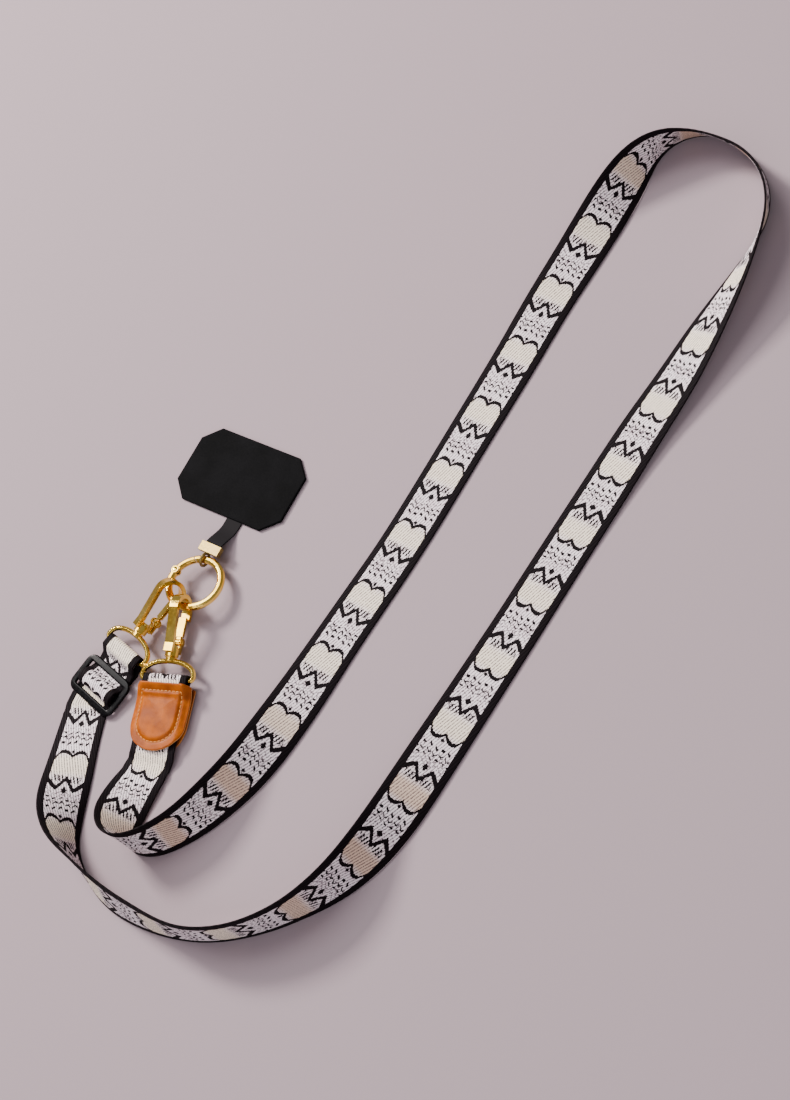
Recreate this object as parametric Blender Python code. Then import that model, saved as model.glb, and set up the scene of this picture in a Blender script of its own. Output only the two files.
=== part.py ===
"""Phone strap: a patterned webbing loop with two swivel snap hooks clipped to a gate ring,
a leather end tab, a strap adjuster and a short tether with a flat pad. It lies on a surface.
Metres, +Z up, +Y along the long runs of the loop."""

import math

import bmesh
import bpy
import numpy as np
from mathutils import Matrix, Vector

MM = 0.001
GAP = 0.3 * MM

# Webbing
WEB_WIDTH = 22.0 * MM
WEB_THICK = 1.0 * MM
WEB_EDGE = 0.22 * MM
LOOP_LENGTH = 290.0 * MM
LOOP_WIDTH = 165.0 * MM
LOOP_DEPTH = 140.0 * MM
STATION_SPACING = 4.6 * MM

# Gate ring
RING_RADIUS = 12.5 * MM
RING_WIRE = 1.8 * MM
RING_HEIGHT = 7.0 * MM
RING_TILT = math.radians(8.0)
RING_GATE_FROM = math.radians(124.0)
RING_GATE_TO = math.radians(172.0)
RING_TONGUE = 1.2 * MM

# Swivel snap hooks
HOOK_SEAT = 35.4 * MM
HOOK_HEAD_RADIUS = 6.2 * MM
HOOK_STRIP = 2.0 * MM
HOOK_DEPTH = 4.2 * MM
HOOK_NOSE = 3.6 * MM
HOOK_BASE_HALF = 3.7 * MM
BARREL_RADIUS = 3.1 * MM
BARREL_FROM = 10.3 * MM
BARREL_LENGTH = 3.8 * MM
SWIVEL_PIN = 1.5 * MM
PIVOT_HEIGHT = 18.2 * MM
KNUCKLE_RADIUS = 1.9 * MM
PIVOT_PIN = 0.6 * MM
TONGUE_THICK = 2.0 * MM
GATE_THICK = 1.7 * MM
GATE_DEPTH = 3.6 * MM
# Where each hook holds the ring, which way it points from +Y, its rise, its swivel angle,
# and how far the ring's wire hangs from the head along the hook and towards its spine, in mm
HOOKS = {
    "a": {"seat_deg": 230.0, "heading_deg": 12.5, "rise_deg": 4.5, "roll_deg": 66.0, "slack_mm": 3.0, "aside_mm": 0.1},
    "b": {"seat_deg": 276.0, "heading_deg": -19.0, "rise_deg": 5.0, "roll_deg": 90.0, "slack_mm": 1.2, "aside_mm": 0.0},
}

# D eyes that carry the webbing
EYE_WIRE = 1.25 * MM
EYE_SIDE_ROOM = 0.5 * MM
EYE_HEIGHT = 8.6 * MM
EYE_CORNER = 1.6 * MM

# Leather tab
LEATHER_THICK = 1.2 * MM
LEATHER_WIDTH = 27.0 * MM
LEATHER_LENGTH = 30.0 * MM
LEATHER_FROM = 2.6 * MM
LEATHER_PAD = 0.9 * MM

# Strap adjuster
SLIDER_FROM = 10.4 * MM
SLIDER_LENGTH = 17.4 * MM
SLIDER_THICK = 1.6 * MM
SLIDER_END_BAR = 2.6 * MM
SLIDER_MID_BAR = 3.0 * MM
SLIDER_RAIL = 2.3 * MM
SLIDER_ROOM = 0.6 * MM
SLIDER_CORNER = 3.6 * MM

# Tether
PAD_LENGTH = 62.0 * MM
PAD_WIDTH = 39.0 * MM
PAD_CORNER = 8.0 * MM
PAD_THICK = 1.6 * MM
TETHER_WIDTH = 9.0 * MM
TETHER_THICK = 0.8 * MM
TETHER_LAP = 9.0 * MM
TETHER_RUN = 19.0 * MM
TETHER_SEAT = math.radians(104.0)
CLAMP_LENGTH = 4.6 * MM
CLAMP_WALL = 0.7 * MM
CLAMP_WIRE = 0.7 * MM
PAD_SHIFT = -8.5 * MM

# The laid loop, walked from the adjuster to the leather tab. "across" is a share of LOOP_WIDTH and
# "along" of LOOP_LENGTH, both from the ring's centre. "roll" turns the inner border of the first leg
# about the run, in degrees: 0 and 360 show one face, 180 the other. "lift" is a share of WEB_WIDTH.
LOOP_COLUMNS = ("across", "along", "roll", "lift")
LOOP_ROWS = [
    (-0.112, -0.265, 0, 0), (-0.096, -0.300, 2, 0), (-0.068, -0.328, 8, 0), (-0.036, -0.369, 24, 0),
    (0.010, -0.407, 54, 0), (0.070, -0.438, 82, 0), (0.145, -0.459, 100, 0), (0.248, -0.476, 112, 0),
    (0.380, -0.479, 108, 0), (0.524, -0.466, 93, 0), (0.652, -0.425, 90, 0), (0.755, -0.362, 97, 0),
    (0.821, -0.290, 118, 0), (0.852, -0.210, 142, 0), (0.864, -0.114, 160, 0), (0.876, -0.003, 172, 0),
    (0.894, 0.134, 178, 0), (0.912, 0.272, 180, 0), (0.930, 0.390, 182, 0), (0.948, 0.497, 187, 0),
    (0.967, 0.583, 195, 0), (0.979, 0.659, 206, 0), (0.991, 0.734, 222, 0), (0.997, 0.803, 240, 0),
    (0.988, 0.866, 258, 0), (0.945, 0.919, 273, 0), (0.870, 0.957, 286, 0), (0.785, 0.976, 298, 0),
    (0.700, 0.979, 304, 0), (0.628, 0.955, 290, 0), (0.585, 0.915, 258, 0), (0.562, 0.865, 228, 0),
    (0.545, 0.800, 206, 0), (0.530, 0.720, 193, 0), (0.518, 0.640, 187, 0), (0.512, 0.545, 183, 0),
    (0.500, 0.390, 180, 0), (0.482, 0.166, 180, 0), (0.458, 0.010, 184, 0), (0.450, -0.076, 193, 0),
    (0.441, -0.152, 206, 0), (0.426, -0.221, 220, 0), (0.396, -0.283, 234, 0), (0.357, -0.334, 246, 0),
    (0.303, -0.376, 252, 0), (0.248, -0.400, 258, 0), (0.202, -0.406, 272, 0), (0.172, -0.388, 306, 0),
    (0.152, -0.354, 338, 0), (0.136, -0.318, 354, 0),
]

COLOURS = {
    "webbing": ((0.80, 0.76, 0.73), 0.85, 0.0),
    "leather": ((0.46, 0.16, 0.03), 0.45, 0.0),
    "plastic": ((0.012, 0.011, 0.013), 0.35, 0.0),
    "gold": ((0.83, 0.58, 0.22), 0.2, 1.0),
    "steel": ((0.75, 0.70, 0.62), 0.3, 1.0),
    "pad_cloth": ((0.006, 0.006, 0.008), 0.7, 0.0),
    "tether_cloth": ((0.02, 0.016, 0.02), 0.8, 0.0),
}


def clear_scene():
    """Remove what the scene holds."""
    for item in list(bpy.data.objects):
        bpy.data.objects.remove(item, do_unlink=True)


def material(name):
    """One Principled material for each finish."""
    known = bpy.data.materials.get(name)
    if known:
        return known
    made = bpy.data.materials.new(name)
    made.use_nodes = True
    shader = made.node_tree.nodes["Principled BSDF"]
    colour, roughness, metallic = COLOURS[name]
    shader.inputs["Base Color"].default_value = (*colour, 1.0)
    shader.inputs["Roughness"].default_value = roughness
    shader.inputs["Metallic"].default_value = metallic
    return made


def new_object(name, mesh, finish=None):
    """Link a mesh to the strap's collection, or to the cutters' one when it has no finish."""
    group = "phone_strap" if finish else "cutters"
    folder = bpy.data.collections.get(group)
    if folder is None:
        folder = bpy.data.collections.new(group)
        bpy.context.scene.collection.children.link(folder)
    item = bpy.data.objects.new(name, mesh)
    folder.objects.link(item)
    if finish:
        mesh.materials.clear()
        mesh.materials.append(material(finish))
    else:
        item.hide_render = True
        item.display_type = "WIRE"
    return item


def mesh_from(bm, name):
    """Turn a bmesh into a mesh with outward faces."""
    bmesh.ops.recalc_face_normals(bm, faces=bm.faces)
    mesh = bpy.data.meshes.new(name)
    bm.to_mesh(mesh)
    bm.free()
    return mesh


def loft(name, sections, finish):
    """A closed solid through equal rings of points, capped at both ends."""
    bm = bmesh.new()
    rings = [[bm.verts.new(point) for point in section] for section in sections]
    count = len(rings[0])
    for near, far in zip(rings[:-1], rings[1:]):
        for i in range(count):
            j = (i + 1) % count
            bm.faces.new((near[i], near[j], far[j], far[i]))
    bm.faces.new(list(reversed(rings[0])))
    bm.faces.new(rings[-1])
    return new_object(name, mesh_from(bm, name), finish)


def cylinder(name, radius, start, end, sides=20, finish=None):
    """A closed cylinder between two points."""
    start, end = Vector(start), Vector(end)
    bm = bmesh.new()
    bmesh.ops.create_cone(bm, cap_ends=True, segments=sides, radius1=radius, radius2=radius,
                          depth=(end - start).length)
    turn = (end - start).to_track_quat("Z", "Y").to_matrix().to_4x4()
    bmesh.ops.transform(bm, matrix=Matrix.Translation((start + end) / 2) @ turn, verts=bm.verts)
    return new_object(name, mesh_from(bm, name), finish)


def box(name, low, high, finish=None):
    """A closed box between two corners."""
    low, high = Vector(low), Vector(high)
    bm = bmesh.new()
    bmesh.ops.create_cube(bm, size=1.0)
    bmesh.ops.scale(bm, vec=high - low, verts=bm.verts)
    bmesh.ops.translate(bm, vec=(low + high) / 2, verts=bm.verts)
    return new_object(name, mesh_from(bm, name), finish)


def curve_solid(name, points, radius, finish=None, cyclic=False, resolution=3):
    """A round wire through points, made a mesh with welded caps."""
    data = bpy.data.curves.new(name, "CURVE")
    data.dimensions = "3D"
    data.bevel_depth = radius
    data.bevel_resolution = resolution
    data.use_fill_caps = not cyclic
    spline = data.splines.new("POLY")
    spline.points.add(len(points) - 1)
    for slot, point in zip(spline.points, points):
        slot.co = (*point, 1.0)
    spline.use_cyclic_u = cyclic
    return curve_to_mesh(name, data, finish)


def plate(name, outlines, half_thick, finish=None):
    """A flat outline, with holes where outlines lie inside the first, extruded both ways along Z."""
    data = bpy.data.curves.new(name, "CURVE")
    data.dimensions = "2D"
    data.fill_mode = "BOTH"
    data.extrude = half_thick
    for outline in outlines:
        spline = data.splines.new("POLY")
        spline.points.add(len(outline) - 1)
        for slot, point in zip(spline.points, outline):
            slot.co = (point[0], point[1], 0.0, 1.0)
        spline.use_cyclic_u = True
    return curve_to_mesh(name, data, finish)


def curve_to_mesh(name, data, finish):
    """Evaluate a curve, weld its caps and give it back as a mesh object."""
    carrier = bpy.data.objects.new(name + "_curve", data)
    bpy.context.scene.collection.objects.link(carrier)
    bpy.context.view_layer.update()
    graph = bpy.context.evaluated_depsgraph_get()
    mesh = bpy.data.meshes.new_from_object(carrier.evaluated_get(graph))
    bpy.data.objects.remove(carrier, do_unlink=True)
    bpy.data.curves.remove(data)
    bm = bmesh.new()
    bm.from_mesh(mesh)
    bmesh.ops.remove_doubles(bm, verts=bm.verts, dist=0.00001)
    bmesh.ops.recalc_face_normals(bm, faces=bm.faces)
    bm.to_mesh(mesh)
    bm.free()
    mesh.name = name
    return new_object(name, mesh, finish)


def combine(target, other, operation):
    """Join, cut or intersect the target with another solid, which is then removed."""
    step = target.modifiers.new(operation.lower(), "BOOLEAN")
    step.operation = operation
    step.solver = "EXACT"
    step.object = other
    bpy.context.view_layer.update()
    graph = bpy.context.evaluated_depsgraph_get()
    mesh = bpy.data.meshes.new_from_object(target.evaluated_get(graph))
    target.modifiers.clear()
    old = target.data
    target.data = mesh
    bpy.data.meshes.remove(old)
    bpy.data.objects.remove(other, do_unlink=True)
    bm = bmesh.new()
    bm.from_mesh(mesh)
    bmesh.ops.dissolve_degenerate(bm, dist=0.000002, edges=bm.edges)
    bmesh.ops.remove_doubles(bm, verts=bm.verts, dist=0.000002)
    bm.to_mesh(mesh)
    bm.free()
    return target


def bake(item, matrix):
    """Move a solid's points by a matrix."""
    item.data.transform(matrix)
    item.data.update()
    return item


def smooth_shade(item, angle=40.0):
    """Shade round faces smooth and keep real corners sharp."""
    item.data.shade_smooth()
    item.data.set_sharp_from_angle(angle=math.radians(angle))


def natural_spline(values, knots, where):
    """A natural cubic spline through the values, read at the given places."""
    values = np.asarray(values, float)
    step = np.diff(knots)
    count = len(knots)
    system = np.eye(count)
    right = np.zeros_like(values)
    for i in range(1, count - 1):
        system[i, i - 1:i + 2] = step[i - 1], 2 * (step[i - 1] + step[i]), step[i]
        right[i] = 6 * ((values[i + 1] - values[i]) / step[i] - (values[i] - values[i - 1]) / step[i - 1])
    bend = np.linalg.solve(system, right)
    spot = np.clip(np.searchsorted(knots, where) - 1, 0, count - 2)
    h = step[spot][:, None]
    a = (knots[spot + 1] - where)[:, None] / h
    b = 1 - a
    curve = ((a ** 3 - a) * bend[spot] + (b ** 3 - b) * bend[spot + 1]) * h ** 2 / 6
    return a * values[spot] + b * values[spot + 1] + curve


def spaced_line(points, spacing):
    """A smooth line through points, read at about even spacing."""
    points = np.asarray(points, float)
    knots = np.concatenate([[0], np.cumsum(np.linalg.norm(np.diff(points, axis=0), axis=1))])
    where = np.linspace(0, knots[-1], max(int(knots[-1] / spacing), 2) + 1)
    return natural_spline(points, knots, where)


def arc(centre, radius, start_deg, end_deg, steps):
    """Points of an arc in a plane, ends included."""
    angles = np.radians(np.linspace(start_deg, end_deg, steps))
    return [(centre[0] + radius * math.cos(t), centre[1] + radius * math.sin(t)) for t in angles]


def ring_place():
    """The matrix from the ring's own plane to the model."""
    return Matrix.Translation((0, 0, RING_HEIGHT)) @ Matrix.Rotation(-RING_TILT, 4, "X")


def ring_point(angle):
    """A point on the ring's wire."""
    return ring_place() @ Vector((RING_RADIUS * math.cos(angle), RING_RADIUS * math.sin(angle), 0))


def hook_place(key, rolled=True):
    """The matrix of a hook (x towards its gate, y along it, z through its flat), or of its eye."""
    pose = HOOKS[key]
    heading, rise = math.radians(pose["heading_deg"]), math.radians(pose["rise_deg"])
    along = Vector((math.sin(heading) * math.cos(rise), math.cos(heading) * math.cos(rise), math.sin(rise)))
    side = Vector((math.cos(heading), -math.sin(heading), 0))
    up = side.cross(along)
    roll = math.radians(pose["roll_deg"])
    rolled_side = side * math.cos(roll) - up * math.sin(roll)
    offset = rolled_side * pose["aside_mm"] * MM
    if rolled:
        side, up = rolled_side, side * math.sin(roll) + up * math.cos(roll)
    seat = ring_point(math.radians(pose["seat_deg"]))
    origin = seat - along * (HOOK_SEAT - pose["slack_mm"] * MM) + offset
    turn = Matrix((side, along, up)).transposed().to_4x4()
    return Matrix.Translation(origin) @ turn


def leg_frame(key):
    """The eye bar's centre, the level direction the webbing leaves it, and the bar's direction."""
    place = hook_place(key, rolled=False)
    origin = place.translation
    away = -(place.to_3x3() @ Vector((0, 1, 0)))
    away.z = 0
    away.normalize()
    return np.array(origin), np.array(away), np.array((-away.y, away.x, 0.0))


def swing_cutter(pivot, reach):
    """A short curved slab that trims the ring's free end along the circle the gate's tip swings on."""
    tip = Vector((RING_RADIUS * math.cos(RING_GATE_FROM), RING_RADIUS * math.sin(RING_GATE_FROM), 0))
    course = math.degrees(math.atan2(tip.y - pivot.y, tip.x - pivot.x))
    outer = arc(pivot.xy, reach, course - 28, course + 28, 15)
    inner = arc(pivot.xy, reach * 0.7, course + 28, course - 28, 9)
    return plate("swing", [outer + inner], RING_WIRE * 2)


def build_ring():
    """The gate ring: a round wire with a knuckle for its gate."""
    pivot = Vector((RING_RADIUS * math.cos(RING_GATE_TO), RING_RADIUS * math.sin(RING_GATE_TO), 0))
    half = RING_WIRE
    sweep = np.linspace(RING_GATE_TO, RING_GATE_FROM + 0.08 + 2 * math.pi, 49)
    wire = [(RING_RADIUS * math.cos(t), RING_RADIUS * math.sin(t), 0) for t in sweep]
    body = curve_solid("ring", wire, RING_WIRE, "gold", resolution=3)
    gate_sweep = np.linspace(RING_GATE_FROM - 0.1, RING_GATE_TO, 13)
    gate_wire = [(RING_RADIUS * math.cos(t), RING_RADIUS * math.sin(t), 0) for t in gate_sweep]
    gate = curve_solid("ring_gate", gate_wire, RING_WIRE * 0.92, "gold", resolution=3)
    # Both free ends are cut along one circle about the pivot, so that the gate swings past the ring
    reach = 2 * RING_RADIUS * math.sin((RING_GATE_TO - RING_GATE_FROM) / 2)
    high = Vector((0, 0, 4 * half))
    combine(body, swing_cutter(pivot, reach + GAP / 2), "DIFFERENCE")
    combine(gate, cylinder("reach", reach - GAP / 2, pivot - high, pivot + high, 64), "INTERSECT")
    # The knuckle: two round ears on the ring, one tongue on the gate, one pin
    ear = Vector((0, 0, half))
    slot = Vector((0, 0, RING_TONGUE / 2 + GAP))
    tongue = Vector((0, 0, RING_TONGUE / 2))
    combine(body, cylinder("ears", half, pivot - ear, pivot + ear, 24), "UNION")
    combine(body, cylinder("slot", half + GAP, pivot - slot, pivot + slot, 24), "DIFFERENCE")
    combine(body, cylinder("pin", PIVOT_PIN, pivot - ear * 0.9, pivot + ear * 0.9, 12), "UNION")
    combine(gate, cylinder("round", half + GAP, pivot - high, pivot + high, 24), "DIFFERENCE")
    inner = pivot.normalized() * RING_RADIUS
    angle = RING_GATE_TO - math.asin((half + 1.6 * GAP) / RING_RADIUS) - 0.06
    root = Vector((RING_RADIUS * math.cos(angle), RING_RADIUS * math.sin(angle), 0))
    across = (root - inner).normalized()
    side = Vector((-across.y, across.x, 0)) * (half * 0.62)
    leaf = [inner + side, inner - side, root + across * half * 0.5 - side, root + across * half * 0.5 + side]
    leaf_plate = plate("leaf", [[(p.x, p.y) for p in leaf]], tongue.z)
    combine(leaf_plate, cylinder("leaf_end", half * 0.72, pivot - tongue, pivot + tongue, 20), "UNION")
    combine(leaf_plate, cylinder("leaf_bore", PIVOT_PIN + GAP, pivot - high, pivot + high, 14), "DIFFERENCE")
    combine(gate, leaf_plate, "UNION")
    for item in (body, gate):
        bake(item, ring_place())
        smooth_shade(item)
    return body, gate


def strip_outline(middle, half):
    """The outline of a strip of even thickness along a middle line."""
    points = [Vector(p) for p in middle]
    left, right = [], []
    for i, point in enumerate(points):
        ahead = points[min(i + 1, len(points) - 1)] - points[max(i - 1, 0)]
        across = Vector((-ahead.y, ahead.x)).normalized() * half
        left.append(point + across)
        right.append(point - across)
    return [tuple(p) for p in left] + [tuple(p) for p in reversed(right)]


def hook_head():
    """The centre of the hook's round head, in the hook's plane."""
    return 0.0, HOOK_SEAT - (HOOK_HEAD_RADIUS - HOOK_STRIP / 2 - RING_WIRE - GAP)


def build_hook(key):
    """A snap hook: swivel barrel, flat bent frame with a knuckle, and its straight gate."""
    head = hook_head()
    half = HOOK_STRIP / 2
    barrel_top = BARREL_FROM + BARREL_LENGTH
    arm = HOOK_BASE_HALF
    spine = [(-arm, barrel_top - HOOK_STRIP), (-arm, barrel_top + HOOK_STRIP)]
    bow = arc(head, HOOK_HEAD_RADIUS, 184.0, 0.0, 17)
    nose = [(head[0] + HOOK_HEAD_RADIUS, head[1] - HOOK_NOSE)]
    frame = plate("hook_" + key, [strip_outline(spine + bow + nose, half)], HOOK_DEPTH / 2, "gold")
    pivot = Vector((arm, PIVOT_HEIGHT, 0))
    post = [(arm, barrel_top - HOOK_STRIP * 0.7), (arm, PIVOT_HEIGHT)]
    combine(frame, plate("post", [strip_outline(post, half)], HOOK_DEPTH * 0.47), "UNION")
    low = Vector((0, BARREL_FROM, 0))
    top = Vector((0, barrel_top, 0))
    combine(frame, cylinder("barrel", BARREL_RADIUS, low, top, 24), "UNION")
    deck = HOOK_DEPTH * 0.44
    yoke = box("yoke", (-arm, barrel_top - HOOK_STRIP * 0.9, -deck), (arm, barrel_top - 0.1 * MM, deck))
    combine(frame, yoke, "UNION")
    along = Vector((0, BARREL_LENGTH, 0))
    combine(frame, cylinder("bore", SWIVEL_PIN + GAP, low - along, top + along, 16), "DIFFERENCE")
    deep = Vector((0, 0, HOOK_DEPTH * 0.53))
    combine(frame, cylinder("ears", KNUCKLE_RADIUS, pivot - deep, pivot + deep, 20), "UNION")
    slot = Vector((0, 0, TONGUE_THICK / 2 + GAP))
    combine(frame, cylinder("slot", KNUCKLE_RADIUS + GAP, pivot - slot, pivot + slot, 20), "DIFFERENCE")
    combine(frame, cylinder("pin", PIVOT_PIN, pivot - deep * 0.9, pivot + deep * 0.9, 12), "UNION")
    gate = build_hook_gate(key, pivot, head)
    place = hook_place(key)
    for item in (frame, gate):
        bake(item, place)
        smooth_shade(item)
    return frame, gate


def build_hook_gate(key, pivot, head):
    """The gate: a straight bar that closes on the inner side of the nose."""
    tip_x = head[0] + HOOK_HEAD_RADIUS - HOOK_STRIP / 2 - GAP - GATE_THICK / 2 - GAP / 2
    tip = Vector((tip_x, head[1] - HOOK_NOSE + GATE_THICK * 0.6, 0))
    shoulder = pivot + (tip - pivot).normalized() * (KNUCKLE_RADIUS + GAP * 2)
    bar = plate("hook_gate_" + key, [strip_outline([tuple(shoulder.xy), tuple(tip.xy)], GATE_THICK / 2)],
                GATE_DEPTH / 2, "gold")
    leaf = [tuple(pivot.xy), tuple((shoulder + (tip - pivot).normalized() * GATE_THICK).xy)]
    tongue = plate("leaf", [strip_outline(leaf, GATE_THICK * 0.42)], TONGUE_THICK / 2)
    deep = Vector((0, 0, TONGUE_THICK / 2))
    combine(tongue, cylinder("leaf_end", KNUCKLE_RADIUS * 0.8, pivot - deep, pivot + deep, 20), "UNION")
    combine(tongue, cylinder("leaf_bore", PIVOT_PIN + GAP, pivot - deep * 3, pivot + deep * 3, 14), "DIFFERENCE")
    return combine(bar, tongue, "UNION")


def eye_outline():
    """The D of an eye: a straight bar, two round corners and a bowed top."""
    half = WEB_WIDTH / 2 + EYE_SIDE_ROOM + EYE_WIRE
    points = arc((half - EYE_CORNER, EYE_CORNER), EYE_CORNER, -90, 0, 4)
    top_height = EYE_HEIGHT - EYE_CORNER
    bow = [math.radians(t) for t in range(12, 169, 12)]
    points += [(half * math.cos(t), EYE_CORNER + top_height * math.sin(t) ** 0.85) for t in bow]
    points += arc((EYE_CORNER - half, EYE_CORNER), EYE_CORNER, 180, 270, 4)
    return points


def build_eye(key):
    """A D eye with the headed pin that the hook's barrel turns on."""
    eye = curve_solid("eye_" + key, [(x, y, 0) for x, y in eye_outline()], EYE_WIRE, "gold", True, 2)
    head_from = BARREL_FROM + BARREL_LENGTH + GAP
    start = Vector((0, EYE_HEIGHT, 0))
    combine(eye, cylinder("stem", SWIVEL_PIN, start, Vector((0, head_from + 0.5 * MM, 0)), 16), "UNION")
    collar_end = Vector((0, BARREL_FROM - GAP, 0))
    combine(eye, cylinder("collar", BARREL_RADIUS * 0.82, start - Vector((0, EYE_WIRE * 0.4, 0)), collar_end, 20),
            "UNION")
    cap = Vector((0, head_from, 0))
    combine(eye, cylinder("cap", SWIVEL_PIN * 1.45, cap, cap + Vector((0, 1.1 * MM, 0)), 16), "UNION")
    bake(eye, hook_place(key, rolled=False))
    smooth_shade(eye)
    return eye


def leg_points(key, profile):
    """Place (distance from the eye bar, height) pairs along a leg."""
    origin, away, _ = leg_frame(key)
    return [origin * (1, 1, 0) + away * u + np.array((0, 0, z)) for u, z in profile]


def wrap_radius():
    """The middle of the webbing round an eye bar."""
    return EYE_WIRE + GAP + WEB_THICK / 2


def slider_bars():
    """Middle of the adjuster's near, middle and far bars along the leg."""
    near = SLIDER_FROM + SLIDER_END_BAR / 2
    far = SLIDER_FROM + SLIDER_LENGTH - SLIDER_END_BAR / 2
    return near, (near + far) / 2, far


def slider_heights():
    """Height of the middle of the near and far bars, from the webbing layers below them."""
    layer = WEB_THICK + GAP
    return 2 * layer + SLIDER_THICK / 2, layer + SLIDER_THICK / 2


def leg_a_profile():
    """The adjuster's leg: tail round the middle bar, under and round the eye, out through the adjuster."""
    origin, _, _ = leg_frame("a")
    bar_z = origin[2]
    low, turn = WEB_THICK / 2, wrap_radius()
    near, mid, far = slider_bars()
    near_z, far_z = slider_heights()
    mid_z = (near_z + far_z) / 2
    wrap = SLIDER_THICK / 2 + GAP + WEB_THICK / 2
    end = mid + SLIDER_MID_BAR / 2 - SLIDER_THICK / 4
    tail = [(mid - 0.6 * MM, mid_z + wrap)]
    tail += arc((end, mid_z), wrap, 90, -90, 9)
    tail += [(mid - 1.4 * MM, mid_z - wrap * 0.97), (near, low * 1.1), (near * 0.5, low)]
    lowest = bar_z - turn
    tail += [(turn * 1.2, (low + lowest) / 2 if lowest > low else low)]
    loop = arc((0, bar_z), turn, -90, -270, 11)
    over = mid_z + wrap + WEB_THICK + GAP
    layer = WEB_THICK + GAP
    main = [(near * 0.3, bar_z + turn * 0.9), (near * 0.54, low + layer * 2.0), (near * 0.78, low + layer)]
    main += [(near + SLIDER_END_BAR * 0.65, low + layer), (mid - SLIDER_MID_BAR * 1.24, mid_z - wrap * 0.1)]
    main += [(mid - SLIDER_MID_BAR * 0.87, over * 0.69), (mid - SLIDER_MID_BAR * 0.57, over * 0.89)]
    main += [(mid - SLIDER_MID_BAR * 0.23, over), (mid + SLIDER_MID_BAR * 0.3, over)]
    main += [(end + wrap * 0.85, over * 0.93), (end + wrap + layer * 0.7, mid_z + wrap * 0.85)]
    main += [(end + wrap + layer * 1.04, mid_z), (far - SLIDER_END_BAR * 1.24, low + layer * 0.85)]
    main += [(far - SLIDER_END_BAR * 0.82, low * 1.15), (far - SLIDER_END_BAR * 0.45, low), (far + SLIDER_END_BAR, low)]
    return tail, loop, main


def leg_b_profile():
    """The leather tab's leg, walked from the loop to the eye, round it and back under."""
    origin, _, _ = leg_frame("b")
    bar_z = origin[2]
    turn = wrap_radius()
    layer = WEB_THICK + GAP
    under = LEATHER_THICK + GAP + WEB_THICK / 2
    end = LEATHER_FROM + LEATHER_LENGTH
    main = [(end + 6 * MM, WEB_THICK / 2 + layer * 0.75), (end, under + layer * 0.9), (end * 0.75, under + layer)]
    main += [(end * 0.42, under + layer), (end * 0.26, under + layer * 1.4), (turn * 1.6, bar_z + turn * 0.92)]
    loop = arc((0, bar_z), turn, 90, 270, 11)
    tail = [(turn * 1.6, bar_z - turn), (end * 0.26, under), (end * 0.5, under), (end * 0.8, under)]
    return main, loop, tail


def laid_loop():
    """The run of webbing that lies in a loop: its middle line and the direction of its inner border."""
    rows = np.array(LOOP_ROWS, float)
    place = rows[:, :2] * (LOOP_WIDTH, LOOP_LENGTH)
    knots = np.concatenate([[0], np.cumsum(np.linalg.norm(np.diff(place, axis=0), axis=1))])
    where = np.linspace(0, knots[-1], int(knots[-1] / STATION_SPACING))
    flat = natural_spline(place, knots, where)
    roll = np.radians(np.interp(where, knots, rows[:, 2]))
    lift = np.interp(where, knots, rows[:, 3]) * WEB_WIDTH
    for _ in range(4):
        roll[1:-1] = (roll[:-2] + 2 * roll[1:-1] + roll[2:]) / 4
    need = WEB_WIDTH / 2 * np.abs(np.sin(roll)) + WEB_THICK / 2 * np.abs(np.cos(roll)) + lift
    height = need.copy()
    for _ in range(4):
        height[1:-1] = (height[:-2] + 2 * height[1:-1] + height[2:]) / 4
        height = np.maximum(height, need)
    middle = np.column_stack([flat, height])
    along = np.gradient(middle, axis=0)
    along /= np.linalg.norm(along, axis=1)[:, None]
    level = np.column_stack([along[:, 1], -along[:, 0], np.zeros(len(along))])
    level /= np.linalg.norm(level, axis=1)[:, None]
    upright = np.cross(level, along)
    border = np.cos(roll)[:, None] * level + np.sin(roll)[:, None] * upright
    return middle, border


def webbing_line():
    """All stations of the webbing, tail to tail, with the direction of its border at each."""
    tail, loop, main = leg_a_profile()
    head = np.array(leg_points("a", tail + loop + main))
    border_a = -leg_frame("a")[2]
    middle, border = laid_loop()
    main_b, loop_b, tail_b = leg_b_profile()
    foot = np.array(leg_points("b", main_b + loop_b + tail_b))
    border_b = leg_frame("b")[2]
    line = np.vstack([head, middle, foot])
    borders = np.vstack([np.tile(border_a, (len(head), 1)), border, np.tile(border_b, (len(foot), 1))])
    return line, borders


def build_webbing():
    """The woven strap, one strip from the tail at the adjuster to the tail in the leather tab."""
    line, borders = webbing_line()
    sections = []
    for i, (point, border) in enumerate(zip(line, borders)):
        ahead = line[min(i + 1, len(line) - 1)] - line[max(i - 1, 0)]
        ahead /= np.linalg.norm(ahead)
        border = border - ahead * border.dot(ahead)
        border /= np.linalg.norm(border)
        face = np.cross(ahead, border)
        sections.append([tuple(point + border * u + face * v) for u, v in strip_section(WEB_WIDTH, WEB_THICK)])
    return loft("webbing", sections, "webbing")


def strip_section(width, thick):
    """The cross-section of a strap with softened edges."""
    half, flat, edge = width / 2, thick / 2, WEB_EDGE
    corner = [(half - edge, flat), (half, flat - edge), (half, edge - flat), (half - edge, -flat)]
    return corner + [(-u, -v) for u, v in corner]


def leather_half(u):
    """Half the leather's width at a distance along it: straight sides and a round end."""
    bend = LEATHER_LENGTH - LEATHER_WIDTH * 0.46
    if u <= bend:
        return LEATHER_WIDTH / 2
    share = min((u - bend) / (LEATHER_LENGTH - bend), 1.0)
    return LEATHER_WIDTH / 2 * math.sqrt(max(1 - share ** 2, 0.0))


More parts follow.
